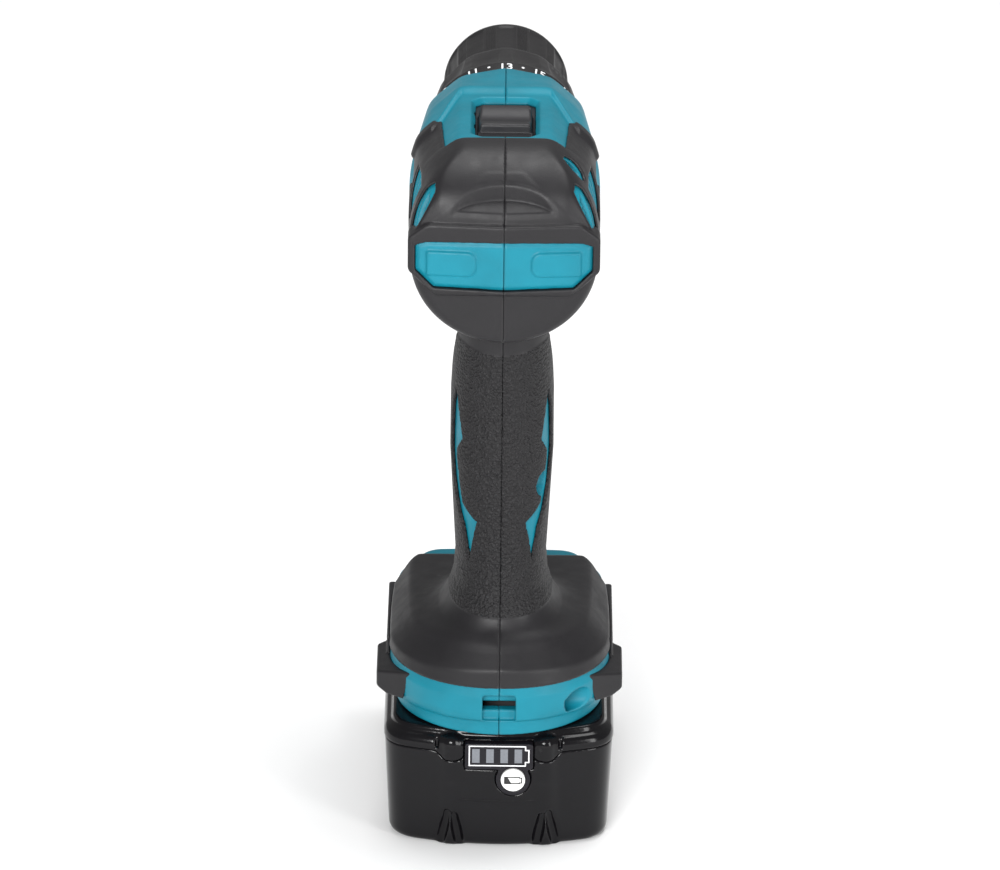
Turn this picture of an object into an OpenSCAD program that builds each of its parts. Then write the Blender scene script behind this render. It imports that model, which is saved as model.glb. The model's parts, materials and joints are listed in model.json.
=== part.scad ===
// Compact cordless drill with a slide-on battery.
// X is the width, +Y points out of the chuck, Z is up from the battery's underside.

/* [Body] */
// Height of the spindle axis above the surface the tool stands on
axis_z = 212; // [210:0.5:214]
// Wall thickness of the two clamshell halves
wall = 2.6; // [2.2:0.1:2.8]
// Thickness of the soft rubber cover over the clamshell
rubber = 1.0; // [0.6:0.1:1.2]

/* [Gearbox] */
// Gear module
gear_m = 0.8; // [0.78:0.01:0.8]
// Teeth of each sun gear
sun_teeth = 9; // [9]
// Teeth of each planet gear
planet_teeth = 18; // [18]
// Width of the first planet gears
planet_w = 9; // [8:0.5:9]

/* [Chuck] */
// Radius of the hole in the chuck's nose
nose_r = 6.75; // [6.75:0.05:7]
// Radius of the chuck's sleeve
sleeve_r = 20.3; // [20:0.1:20.6]
// Angle between each jaw and the spindle axis
jaw_angle = 20; // [19:0.5:21]
// Travel of each jaw along its own channel
jaw_travel = 16.5; // [15:0.5:16.5]

/* [Controls] */
// Travel of the trigger
trigger_travel = 7; // [5:0.5:7]
// Travel of the speed selector
speed_travel = 5; // [4:0.5:5]

/* [Battery] */
// Half width of the battery case
battery_half_w = 37.4; // [37:0.1:37.6]
// Diameter of one cell
cell_d = 18.2; // [18:0.1:18.3]
// Length of one cell
cell_l = 65; // [64:0.5:65.5]

/* [Hidden] */
$fn = 48;

// Colours
teal = [0.13, 0.60, 0.68];
rubber_grey = [0.20, 0.20, 0.21];
battery_black = [0.08, 0.08, 0.09];
steel = [0.70, 0.71, 0.73];
dark_steel = [0.38, 0.38, 0.40];
brass = [0.78, 0.62, 0.30];
copper = [0.75, 0.40, 0.20];
board_green = [0.10, 0.35, 0.20];

// Head sections: place along Y, half width, height above the axis, depth below it, roundness
head_sections = [
    [-79.5, 26.0, 23.0, 24.5, 2.2],
    [-76, 29.2, 27.0, 28.0, 2.2],
    [-62, 30.0, 28.8, 28.6, 2.3],
    [-46, 30.2, 29.8, 28.4, 2.5],
    [-26, 30.0, 30.2, 27.8, 2.6],
    [-8, 29.2, 29.4, 27.0, 2.5],
    [8, 28.2, 28.2, 26.6, 2.3],
    [20.6, 27.2, 27.2, 26.0, 2.1]
];
// Handle sections: height, middle along Y, half depth, half width, roundness
handle_sections = [
    [63, -37, 33.0, 31.0, 2.6],
    [67, -37, 28.0, 25.5, 2.5],
    [74, -37.2, 23.5, 19.5, 2.4],
    [84, -37.5, 20.6, 15.2, 2.3],
    [110, -37.0, 19.5, 15.0, 2.3],
    [130, -36.0, 20.0, 16.0, 2.3],
    [150, -34.5, 19.5, 15.8, 2.3],
    [168, -33.5, 20.3, 15.0, 2.3],
    [192, -33.0, 22.0, 15.6, 2.3]
];
foot_bottom = 41.6;
foot_side = 60;
foot_top = 65;
foot_arc_r = 35.2;
foot_arc_y = -38;
seam_gap = 0.05;
// Thickness of the slices that the shells are stretched between
slice = 0.4;
rear_pad_y = -80.7;

// Motor, from the rear
motor_rear = -77;
stator_y = [-58.5, -40.5];
stator_r = 23;
rotor_r = 11.5;
shaft_r = 3;
bracket_y = [-34.5, -28.7];

// Bolt circle of the four screws that hold the gear case to the motor bracket
case_bolt_r = 21.5;
case_screw_r = 0.65;

// Gearbox
ring_teeth = sun_teeth + 2 * planet_teeth;
planet_orbit = gear_m * (sun_teeth + planet_teeth) / 2;
case_y = [-28.5, 7];
case_r = 22.5;
ring_r = 20.5;
fit = 0.05;
stage_1_y = -24.5;
ring_1_y = -22;
ring_1_w = 7;
carrier_1_y = -15;
stage_2_y = -11.5;
stage_2_w = 7;
carrier_2_y = -4;
carrier_r = 16;
neck_r = 15;
neck_bore_r = 12.05;
neck_end = 44;

// Chuck
chuck_back = 51.5;
nose_y = 81;
jaw_open_y = 66;
jaw_r = 3.2;
jaw_l = 13;
jaw_face_r = 6.8;
jaw_axis_r = 9.6;

// Battery
cell_rows = 5;
battery_front = 40;
battery_rear = -70;
battery_bulge = 8;
battery_screw_at = [[15.2, -64.4], [26, 37]];
pocket_floor = 30.2;
gauge_button_x = 4.8;
gauge_button_z = 25;
gauge_button_r = 4;
gauge_lobe_r = 5.6;
gauge_y = [-70.6, -67.6];
gauge_x = [-11, 11.3];
gauge_z = [28.6, 36.8];
cell_floor = 1.8;
case_split = 34;
ledge_z = 39;
tongue_z = 49;
tongue_half_w = 25;
tongue_y = [-45, 34];

function superellipse(half_w, up, down, power) = [
    for (i = [0 : 23])
        let (a = i * 15, c = cos(a), s = sin(a))
        [half_w * sign(c) * pow(abs(c), 2 / power),
         (s > 0 ? up : down) * sign(s) * pow(abs(s), 2 / power)]
];

function rounded_plan(half_w, front, rear, bulge, r) =
    let (rear_r = (half_w * half_w + bulge * bulge) / (2 * bulge), half_a = asin((half_w - r) / rear_r))
    concat(
        [for (a = [0 : 15 : 90]) [half_w - r + r * cos(a), front - r + r * sin(a)]],
        [for (a = [90 : 15 : 180]) [-half_w + r + r * cos(a), front - r + r * sin(a)]],
        [for (a = [180 : 15 : 240]) [-half_w + r + r * cos(a), rear + bulge + r + r * sin(a)]],
        [for (i = [-4 : 4]) [rear_r * sin(half_a * i / 4), rear + rear_r * (1 - cos(half_a * i / 4))]],
        [for (a = [300 : 15 : 345]) [half_w - r + r * cos(a), rear + bulge + r + r * sin(a)]]
    );

function foot_plan(grow) = concat(
    [for (a = [180 : 10 : 360]) [(foot_arc_r + grow) * cos(a), foot_arc_y + (foot_arc_r + grow) * sin(a)]],
    [[35.6 + grow, -15], [33.6 + grow, 11], [25 + grow, 23 + grow],
     [-25 - grow, 23 + grow], [-33.6 - grow, 11], [-35.6 - grow, -15]]
);

// Involute tooth flank: half angle of the tooth at radius r
pressure = 25;
function involute(a) = tan(a) * 180 / PI - a;
function flank(pitch_r, half_a, r) =
    let (base_r = pitch_r * cos(pressure), a = r > base_r ? acos(base_r / r) : 0)
    half_a + involute(pressure) - involute(a);
backlash = 0.12;
addendum = 0.75;
dedendum = 1.05;

function gear_outline(teeth, inside) =
    let (
        pitch_r = gear_m * teeth / 2,
        half_a = 90 / teeth + (inside ? 1 : -1) * backlash / pitch_r * 90 / PI,
        low = pitch_r - gear_m * (inside ? addendum : dedendum),
        high = pitch_r + gear_m * (inside ? dedendum : addendum),
        start = max(low, pitch_r * cos(pressure)),
        radii = concat(low < start ? [low] : [], [start, (start + high) / 2, high]),
        last = len(radii) - 1,
        phase = inside ? 180 / teeth : 0
    )
    [for (k = [0 : teeth - 1], side = [-1, 1], i = [0 : last])
        let (r = radii[side < 0 ? i : last - i], a = phase + 360 * k / teeth + side * flank(pitch_r, half_a, r))
        [r * cos(a), r * sin(a)]];

// Places its children on the spindle axis, with their Z along +Y from place y
module along_axis(y) {
    translate([0, y, axis_z]) rotate([-90, 0, 0]) children();
}

module disc(y, length, r) {
    along_axis(y) cylinder(h = length, r = r);
}

module tube_y(y, length, outer, inner) {
    along_axis(y) difference() {
        cylinder(h = length, r = outer);
        translate([0, 0, -1]) cylinder(h = length + 2, r = inner);
    }
}

// A slab of the given X, Y and Z spans
module span(x, y, z) {
    translate([x[0], y[0], z[0]]) cube([x[1] - x[0], y[1] - y[0], z[1] - z[0]]);
}

module slice_y(s, grow, shift = 0) {
    translate([0, s[0] + shift, axis_z]) rotate([90, 0, 0]) linear_extrude(slice, center = true)
        polygon(superellipse(s[1] + grow, s[2] + grow, s[3] + grow, s[4]));
}

module slice_z(s, grow) {
    translate([0, s[1], s[0]]) linear_extrude(slice, center = true)
        polygon(superellipse(s[3] + grow, s[2] + grow, s[2] + grow, s[4]));
}

module head(grow, front = 0) {
    last = len(head_sections) - 1;
    for (i = [0 : last - 1]) hull() {
        slice_y(head_sections[i], grow, i == 0 ? -grow : 0);
        slice_y(head_sections[i + 1], grow, i + 1 == last ? front : 0);
    }
}

module handle(grow) {
    for (i = [0 : len(handle_sections) - 2]) hull() {
        slice_z(handle_sections[i], grow);
        slice_z(handle_sections[i + 1], grow);
    }
}

module foot(grow, bottom) {
    hull() {
        translate([0, 0, bottom]) linear_extrude(foot_side - bottom) polygon(foot_plan(grow));
        translate([0, 0, foot_top + grow - slice]) linear_extrude(slice) polygon(foot_plan(grow - 3));
    }
}

// Bridge over the trigger, between the grip and the head's underside
module bridge(grow) {
    hull() {
        span([-14.6 - grow, 14.6 + grow], [-34, 7 + grow], [177.2 - grow, 180]);
        span([-17 - grow, 17 + grow], [-34, 12 + grow], [188, 192]);
    }
}

module body_form(grow, bottom, front = 0) {
    head(grow, front);
    handle(grow);
    bridge(grow);
    foot(grow, bottom);
}

// Where the clamshell screws run, as [Y, Z]
screw_places = [
    [-67, axis_z + 24.6], [8, axis_z - 25.2], [-28, 118], [-30, 96], [-58, 52.5], [15, 54.7]
];
boss_r = 4.4;
screw_shank_r = 1.5;

module screw_bosses() {
    for (p = screw_places) translate([0, p[0], p[1]]) rotate([0, 90, 0])
        cylinder(h = 80, r = boss_r, center = true, $fn = 20);
}

module screw_holes() {
    for (p = screw_places) translate([0, p[0], p[1]]) rotate([0, 90, 0]) {
        translate([0, 0, -8]) cylinder(h = 60, r = screw_shank_r + 0.1, $fn = 20);
        translate([0, 0, 9]) cylinder(h = 40, r = 3, $fn = 20);
    }
}

// The head's inside is stiffened by rings that seat the motor and the gear case
module seat_rings() {
    for (place = [[-60.5, 1.6, stator_r + 0.4], [-30.5, 1.8, case_r + 0.3], [12, 1.8, case_r + 0.3]])
        intersection() {
            head(-wall / 2);
            tube_y(place[0], place[1], 40, place[2]);
        }
}

vent_count = 4;
vent_pitch = 5.2;
light_half_w = 8.4;
light_z = [180.6, 185];
knob_y = [-41, -18.5];
knob_plate_y = [-47, -4.5];
knob_plate_z = axis_z + 23.6;

module housing_cuts() {
    // speed selector window
    span([-10.5, 10.5], [knob_y[0] - speed_travel - 0.3, -11], [knob_plate_z + 1, axis_z + 40]);
    // track of the speed selector's plate
    span([-10.2, 10.2], [knob_plate_y[0] - speed_travel - 0.5, knob_plate_y[1] + 0.5],
         [knob_plate_z - 0.3, knob_plate_z + 2.3]);
    // trigger opening, and the slot for the direction lever's ends
    span([-9.2, 9.2], [-22.5, 12], [149.5, 178]);
    span([-30, 30], [-17.5, 1], [178.6, 186.6]);
    // work light window
    span([-light_half_w - 0.4, light_half_w + 0.4], [5, 30], [light_z[0] - 0.4, light_z[1] + 0.1]);
    // air vents in both sides of the head
    for (side = [-1, 1], i = [0 : vent_count - 1])
        translate([side * 30, -66 + i * vent_pitch, axis_z]) rotate([20, 0, 0])
            cube([14, 2.2, 22], center = true);
    // battery channel, open at the front
    span([-tongue_half_w - 0.6, tongue_half_w + 0.6], [-62.5, 40], [foot_bottom - 1, tongue_z + 1]);
    // window through the rear band
    span([-5.4, 5.4], [-80, -60], [45, 54]);
    // seats of the belt hook's brass inserts
    for (side = [-1, 1]) translate([side * 33, -6, 58]) rotate([0, 90, 0])
        cylinder(h = 12, r = 3.52, center = true, $fn = 30);
}

module rear_pad(grow) {
    span([-28 - grow, 28 + grow], [rear_pad_y - 10 * grow, -76], [axis_z - 10.2 - grow, axis_z + 5.9 + grow]);
}

module housing_shell() {
    difference() {
        body_form(0, foot_bottom);
        difference() {
            body_form(-wall, foot_bottom + wall, 3);
            seat_rings();
            screw_bosses();
            // rails that carry the battery
            for (side = [-1, 1]) scale([side, 1, 1])
                span([tongue_half_w + 0.7, 40], [-60, 20], [foot_bottom, tongue_z + 3]);
            span([-40, 40], [-66, -62.6], [foot_bottom, tongue_z + 3]);
            // wall that carries the rear bearing
            tube_y(motor_rear - 2, 7, 12, 9.55);
        }
        screw_holes();
        housing_cuts();
        disc(motor_rear - 0.1, 7, 9.55);
        // the motor, the gear case and everything round the axis need their room
        disc(motor_rear + 6, 200, 15);
        disc(-59, 32, stator_r + 0.2);
        disc(-30, 60, case_r + 0.2);
    }
    // pads that show through the rear bumper
    difference() {
        rear_pad(0);
        disc(-78.6, 30, 22);
    }
}

module half(side) {
    intersection() {
        children();
        scale([side, 1, 1]) span([seam_gap, 60], [-100, 100], [0, 260]);
    }
}

// Side view of what the soft cover covers: the rear of the head, the grip and the foot's top
cover_outline = [
    [-49, 260], [-49, 236], [-38, 228], [-34, 214], [-40, 204], [-52, 192], [-54, 176],
    [-50, 166], [-30, 150], [-8, 149], [-8, 80], [12, 72], [13, 56], [-30, 55],
    [-44, 58], [-90, 60], [-90, 260]
];

module cover_region() {
    rotate([90, 0, 90]) linear_extrude(120, center = true) polygon(cover_outline);
}

// Strips on the grip's sides where the hard shell shows
module side_strips() {
    rotate([90, 0, 90]) linear_extrude(120, center = true)
        polygon([[-44, 149], [-47, 131], [-43, 127], [-45, 112], [-50, 104], [-46, 92], [-32, 100], [-30, 145]]);
}

module soft_cover() {
    difference() {
        intersection() {
            union() {
                difference() {
                    body_form(rubber, foot_bottom);
                    body_form(0, foot_bottom - 5, 3);
                }
                // rim of the rear bumper
                difference() {
                    hull() {
                        span([-30.6, 30.6], [-81, -79], [axis_z - 8, axis_z + 4]);
                        span([-29, 29], [-81, -79], [axis_z - 11.4, axis_z + 7.2]);
                        span([-29, 29], [-73, -72], [axis_z - 12, axis_z + 9]);
                    }
                    head(0);
                }
            }
            cover_region();
        }
        rear_pad(0.1);
        side_strips();
        screw_holes();
        housing_cuts();
    }
}

module housing_left() {
    color(teal) half(-1) housing_shell();
}

module housing_right() {
    color(teal) half(1) housing_shell();
}

module cover_left() {
    color(rubber_grey) half(-1) soft_cover();
}

module cover_right() {
    color(rubber_grey) half(1) soft_cover();
}

// Block on each side of the foot that takes the knocks
module side_bumper(side) {
    color(rubber_grey) scale([side, 1, 1]) difference() {
        hull() {
            span([30, 40.3], [-55, -45], [46, 56]);
            span([30, 38.6], [-58, -38], [43.5, 60]);
            span([30, 37.6], [-52, -36], [58, 66]);
        }
        foot(rubber + 0.05, foot_bottom - 8);
        screw_holes();
    }
}

module bumper_left() side_bumper(-1);
module bumper_right() side_bumper(1);

// Heads sunk under the right hand side, points in the left half
module housing_screws() {
    color(dark_steel) for (p = screw_places) translate([-7, p[0], p[1]]) rotate([0, 90, 0]) {
        cylinder(h = 16, r = screw_shank_r);
        translate([0, 0, 16]) difference() {
            cylinder(h = 2.4, r = 2.8);
            translate([0, 0, 1]) cylinder(h = 2, r = 1.2, $fn = 6);
        }
    }
}

insert_x = [27.5, 34.4];

module hook_inserts() {
    color(brass) for (side = [-1, 1]) scale([side, 1, 1])
        translate([insert_x[0], -6, 58]) rotate([0, 90, 0]) difference() {
            cylinder(h = insert_x[1] - insert_x[0], r = 3.5);
            translate([0, 0, -1]) cylinder(h = 20, r = 2);
        }
}

// Can that holds the gears, with the neck that carries the spindle
module gear_case() {
    color(dark_steel) difference() {
        along_axis(0) rotate_extrude() polygon([
            [ring_r + fit, case_y[0]], [case_r, case_y[0]], [case_r, case_y[1]], [neck_r, case_y[1]],
            [neck_r, neck_end], [neck_bore_r, neck_end], [neck_bore_r, 10], [9, 10],
            [9, case_y[1] - 4], [ring_r + fit, case_y[1] - 4]
        ]);
        // slot for the shift fork
        span([-3, 3], [-30, -11], [axis_z + 15, axis_z + 30]);
        ball_places(2) cylinder(h = 8, r = 2.55);
        case_bolts(case_y[0] - 1) cylinder(h = 9, r = case_screw_r + fit, $fn = 16);
    }
}

module ball_places(y) {
    for (i = [0 : 5]) along_axis(y) rotate(i * 60) translate([17.6, 0, 0]) children();
}

module case_bolts(y) {
    for (a = [45 : 90 : 315]) along_axis(y) rotate(a) translate([case_bolt_r, 0, 0]) children();
}

module gear_case_screws() {
    color(steel) case_bolts(bracket_y[0]) {
        translate([0, 0, -1.2]) cylinder(h = 1.2, r = 1.3);
        cylinder(h = 12, r = case_screw_r, $fn = 16);
    }
}

module ring_gear(y, w, groove) {
    color(steel) along_axis(y) difference() {
        cylinder(h = w, r = ring_r);
        translate([0, 0, -1]) linear_extrude(w + 2) polygon(gear_outline(ring_teeth, true));
        if (groove) translate([0, 0, 2.4]) difference() {
            cylinder(h = 2.2, r = ring_r + 1);
            translate([0, 0, -1]) cylinder(h = 5, r = ring_r - 0.9);
        }
    }
}

module ring_gear_1() ring_gear(ring_1_y, ring_1_w, true);
module ring_gear_2() ring_gear(-12.5, 14.5, false);

planet_pin_r = 2;

// Planet cage of the first stage: a rear plate, three pins, a front plate and the next sun
module carrier_1() {
    color(steel) difference() {
        union() {
            disc(-27.6, 2.6, carrier_r);
            for (i = [0 : 2]) along_axis(-26) rotate(i * 120) translate([planet_orbit, 0, 0])
                cylinder(h = 12, r = planet_pin_r);
            for (i = [0 : 2]) along_axis(-26) rotate(60 + i * 120) translate([13.4, 0, 0])
                cylinder(h = 12, r = 1.6);
            disc(carrier_1_y, 3, carrier_r);
            along_axis(-12.2) linear_extrude(8) polygon(gear_outline(sun_teeth, false));
        }
        disc(-30, 8, 5.2);
    }
}

module carrier_2() {
    color(steel) {
        disc(carrier_2_y, 4, carrier_r);
        for (i = [0 : 2]) along_axis(stage_2_y - 0.2) rotate(i * 120) translate([planet_orbit, 0, 0])
            cylinder(h = stage_2_w + 1, r = planet_pin_r);
        disc(-0.5, 3, 8);
    }
}

module planet(y, w, i) {
    color(steel) along_axis(y) rotate(i * 120) translate([planet_orbit, 0, 0]) difference() {
        rotate(180 / planet_teeth) linear_extrude(w) polygon(gear_outline(planet_teeth, false));
        translate([0, 0, -1]) cylinder(h = w + 2, r = planet_pin_r + fit);
    }
}

module planet_1a() planet(stage_1_y, planet_w, 0);
module planet_1b() planet(stage_1_y, planet_w, 1);
module planet_1c() planet(stage_1_y, planet_w, 2);
module planet_2a() planet(stage_2_y, stage_2_w, 0);
module planet_2b() planet(stage_2_y, stage_2_w, 1);
module planet_2c() planet(stage_2_y, stage_2_w, 2);

module rotor_core() {
    color(dark_steel) tube_y(stator_y[0] - 1, 20, rotor_r, shaft_r);
}

module rotor_shaft() {
    color(steel) {
        disc(motor_rear + 0.3, 52.4, shaft_r);
        along_axis(-24.4) linear_extrude(9) polygon(gear_outline(sun_teeth, false));
    }
}

fan_r = 20;

module cooling_fan() {
    color(rubber_grey) difference() {
        union() {
            disc(-70.4, 1.4, fan_r);
            disc(-70.4, 7.4, 6);
            for (i = [0 : 10]) along_axis(-69.2) rotate(i * 360 / 11)
                translate([5, -0.6, 0]) cube([fan_r - 5.1, 1.2, 6]);
        }
        disc(-72, 12, shaft_r);
    }
}

module ball_bearing(y, w, outer, inner) {
    color(steel) along_axis(y) difference() {
        cylinder(h = w, r = outer);
        translate([0, 0, -1]) cylinder(h = w + 2, r = inner);
        for (z = [-1, w - 0.5]) translate([0, 0, z]) difference() {
            cylinder(h = 1.5, r = outer - 1.4);
            translate([0, 0, -1]) cylinder(h = 4, r = inner + 1.4);
        }
    }
}

module rear_bearing() ball_bearing(motor_rear, 5.5, 9.5, shaft_r + fit);
module front_bearing() ball_bearing(bracket_y[0], 5, 7.5, shaft_r + fit);

stator_teeth = 6;

module stator_core() {
    color(dark_steel) along_axis(stator_y[0]) difference() {
        cylinder(h = stator_y[1] - stator_y[0], r = stator_r);
        translate([0, 0, -1]) cylinder(h = 40, r = rotor_r + 0.6);
        for (i = [0 : stator_teeth - 1]) rotate(i * 60 + 30) intersection() {
            translate([13.2, -20, -1]) cube([6.6, 40, 40]);
            translate([0, 0, -1]) linear_extrude(40) polygon([[0, 0], [40, 15.5], [40, -15.5]]);
        }
    }
}

// One coil round each stator tooth
module stator_windings() {
    color(copper) for (i = [0 : stator_teeth - 1]) along_axis(stator_y[0]) rotate(i * 60) difference() {
        translate([13.8, -4.7, -3]) cube([5.4, 9.4, 24]);
        translate([13, -3.3, -0.1]) cube([8, 6.6, 18.2]);
        for (side = [-1, 1]) rotate(side * 30) translate([0, side > 0 ? -0.6 : -9.4, -5]) cube([30, 10, 40]);
    }
}

module sensor_board() {
    color(board_green) tube_y(-37.3, 1.4, 21, 7);
}

module motor_bracket() {
    color(dark_steel) difference() {
        tube_y(bracket_y[0], bracket_y[1] - bracket_y[0], 22.4, 7.5);
        for (i = [0 : 5]) along_axis(bracket_y[0] - 1) rotate(i * 60) translate([14.5, 0, 0])
            cylinder(h = 9, r = 3);
        case_bolts(bracket_y[0] - 1) cylinder(h = 9, r = case_screw_r + fit, $fn = 16);
    }
}

// Thumb slider with the thin plate that closes its window
module speed_knob() {
    color(rubber_grey) {
        span([-9.8, 9.8], knob_plate_y, [knob_plate_z, knob_plate_z + 2]);
        difference() {
            hull() {
                span([-9, 9], knob_y, [knob_plate_z + 1.5, knob_plate_z + 4.5]);
                span([-7.5, 7.5], [knob_y[0] + 2, knob_y[1] - 1.5], [knob_plate_z + 1.5, knob_plate_z + 6.4]);
            }
            translate([0, (knob_y[0] + knob_y[1]) / 2, knob_plate_z + 15.5]) rotate([0, 90, 0])
                cylinder(h = 40, r = 10.4, center = true);
        }
    }
}

// Fork that carries the knob's travel to the first ring gear
module shift_fork() {
    color(steel) {
        span([-2.2, 2.2], [ring_1_y + 2.6, ring_1_y + 4.4], [axis_z + ring_r - 0.5, knob_plate_z]);
    }
}

ring_y = [21, 49.5];

module torque_ring() {
    color(rubber_grey) difference() {
        along_axis(0) rotate_extrude($fn = 96) polygon([
            [23.6, ring_y[0]], [27.2, ring_y[0]], [27.2, 27.5], [25.4, 30], [23.6, 46], [22.6, ring_y[1]],
            [16, ring_y[1]], [16, 46.6], [21.4, 46.6], [21.4, 28], [23.6, 26]
        ]);
        for (i = [0 : 15]) along_axis(31) rotate(i * 22.5) translate([26.2, 0, 0])
            cylinder(h = 20, r = 2.1, $fn = 24);
    }
}

nut_y = 21.5;

module clutch_nut() {
    color(brass) tube_y(nut_y, 4, 20.9, neck_r + fit);
}

module clutch_washer() {
    color(steel) tube_y(7.1, 1, 21, neck_r + fit);
}

module clutch_balls() {
    color(steel) ball_places(4.5) sphere(r = 2.48, $fn = 36);
}

// Round wire wound on a helix
module coil(r, wire, length, turns) {
    steps = turns * 12;
    sides = 6;
    points = [for (i = [0 : steps], j = [0 : sides - 1])
        let (a = i * 30, b = j * 360 / sides, q = r + wire * cos(b))
        [q * cos(a), q * sin(a), wire + (length - 2 * wire) * i / steps + wire * sin(b)]];
    skin = [for (i = [0 : steps - 1], j = [0 : sides - 1])
        let (k = (j + 1) % sides)
        [i * sides + j, (i + 1) * sides + j, (i + 1) * sides + k, i * sides + k]];
    ends = [[for (j = [0 : sides - 1]) j], [for (j = [0 : sides - 1]) steps * sides + sides - 1 - j]];
    polyhedron(points, concat(skin, ends));
}

module clutch_spring() {
    color(steel) along_axis(8.2) coil(17.6, 1.3, nut_y - 8.3, 3);
}

module spindle() {
    color(steel) {
        disc(2.5, 8, 5);
        disc(10, 42, 6);
        disc(52, 11, 6.3);
    }
}

module spindle_bearings() {
    ball_bearing(10.5, 6, 12, 6 + fit);
    ball_bearing(36, 6, 12, 6 + fit);
}

// Runs the children at each jaw's place, with Z along the jaw's channel and its foot at the open tip
module jaw_frame(i, y, r) {
    along_axis(y) rotate(i * 120 + 90) translate([r, 0, 0]) rotate([0, -jaw_angle, 0]) children();
}

module chuck_body() {
    color(dark_steel) difference() {
        along_axis(0) rotate_extrude($fn = 96) polygon([
            [6.3, 52], [15.5, 52], [17.4, 54], [17.4, 78.6], [15, nose_y], [nose_r, nose_y], [nose_r, 64],
            [6.3, 63]
        ]);
        for (i = [0 : 2]) jaw_frame(i, jaw_open_y, jaw_axis_r)
            translate([0, 0, -jaw_l - 12]) cylinder(h = jaw_l + jaw_travel + 26, r = jaw_r + fit);
    }
}

module chuck_sleeve() {
    color(rubber_grey) difference() {
        along_axis(0) rotate_extrude($fn = 96) polygon([
            [17.45, chuck_back], [19.2, chuck_back], [sleeve_r, 53.5], [sleeve_r, 72], [19.4, 77], [18.2, 79.4],
            [17.45, 79.4]
        ]);
        for (i = [0 : 11]) along_axis(56) rotate(i * 30 + 15) translate([sleeve_r + 5.4, 0, 0])
            cylinder(h = 30, r = 6, $fn = 40);
    }
}

module chuck_jaw(i) {
    color(steel) intersection() {
        jaw_frame(i, jaw_open_y, jaw_axis_r) translate([0, 0, -jaw_l]) cylinder(h = jaw_l, r = jaw_r);
        along_axis(0) rotate(i * 120 + 90) translate([0, 0, 30]) linear_extrude(60)
            polygon([[jaw_face_r, -1.2], [jaw_face_r, 1.2], [40, 50], [40, -50]]);
        disc(40, jaw_open_y - 41, 17.3);
    }
}

module chuck_jaw_a() chuck_jaw(0);
module chuck_jaw_b() chuck_jaw(1);
module chuck_jaw_c() chuck_jaw(2);

trigger_back = -14;
switch_y = [-44.4, trigger_back - trigger_travel - 1];
trigger_z = 164;

module switch_body() {
    color(rubber_grey) difference() {
        span([-9.5, 9.5], switch_y, [150.5, 177.5]);
        translate([0, -39, trigger_z]) rotate([-90, 0, 0]) cylinder(h = 20, r = 2.6);
    }
}

// Finger trigger with a hollowed front and the plunger that enters the switch
module trigger() {
    color(rubber_grey) {
        difference() {
            hull() {
                span([-8.6, 8.6], [trigger_back, -2], [150.2, 176.8]);
                span([-6, 6], [-4, 3], [151, 176]);
            }
            translate([0, 22.6, 161]) rotate([0, 90, 0]) cylinder(h = 40, r = 21, center = true);
            span([-7, 7], [trigger_back - 1, -5], [152, 175]);
        }
        translate([0, -31, trigger_z]) rotate([-90, 0, 0]) cylinder(h = 27, r = 2.5);
    }
}

module trigger_spring() {
    color(steel) translate([0, -21.9, trigger_z]) rotate([-90, 0, 0]) coil(3.6, 0.5, 16.8, 7);
}

lever_pivot_y = -26;

module direction_lever() {
    color(rubber_grey) difference() {
        union() {
            span([-3, 3], [lever_pivot_y, -8], [179.5, 183.5]);
            hull() {
                span([-18.6, 18.6], [-11, -6], [180.4, 184]);
                span([-17.6, 17.6], [-12, -5], [179.6, 185]);
            }
            translate([0, lever_pivot_y, 179.5]) cylinder(h = 4, r = 5);
        }
        translate([0, lever_pivot_y, 170]) cylinder(h = 30, r = 1.6);
    }
}

// Control electronics in their potted tray
module controller_board() {
    color(board_green) {
        span([-17, 17], [-53.4, -18], [53.5, 55.1]);
        span([-10, 10], [-48, -30], [55.1, 58]);
        for (x = [-13, 13]) translate([x, -24, 55.1]) cylinder(h = 4.5, r = 2.6);
    }
}

module work_light() {
    color([0.85, 0.90, 0.92]) difference() {
        span([-light_half_w, light_half_w], [5.4, 11.6], light_z);
        for (x = [-4.2, 4.2]) translate([x, 8, (light_z[0] + light_z[1]) / 2]) rotate([-90, 0, 0])
            cylinder(h = 6, r = 1.4);
    }
}

blade_x = [-13, 0, 13];

module terminal_block() {
    color(rubber_grey) {
        span([-17, 17], [-60.5, -46.5], [42.6, 49]);
        for (x = blade_x) span([x - 0.4, x + 0.4], [-46.5, -35], [43.5, 48.2]);
    }
}

function battery_plan(grow) =
    rounded_plan(battery_half_w + grow, battery_front + grow, battery_rear - grow, battery_bulge, 6);

module cell_room(z0, z1) {
    intersection() {
        span([-cell_l / 2 - 0.3, cell_l / 2 + 0.3], [-62, 36], [z0, z1]);
        cells(0.15);
    }
}

module cells(grow) {
    for (row = [0, 1], i = [0 : cell_rows - 1])
        translate([0, -51 + i * (cell_d + 0.5), cell_floor + cell_d * (row + 0.5)]) rotate([0, 90, 0])
            cylinder(h = cell_l + 2 * grow, r = cell_d / 2 + grow, center = true);
}

module battery_lower_case() {
    color(battery_black) difference() {
        linear_extrude(case_split) polygon(battery_plan(0));
        cell_room(-1, case_split + 1);
        battery_screw_places() {
            translate([0, 0, -1]) cylinder(h = 4, r = 2.3);
            cylinder(h = 60, r = 1.4);
        }
        front_pocket();
        gauge_seat();
    }
}

// Room for the latch button and its spring, open at the front
module front_pocket() {
    span([-15.2, 15.2], [33.5, 60], [pocket_floor, 60]);
}

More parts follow.
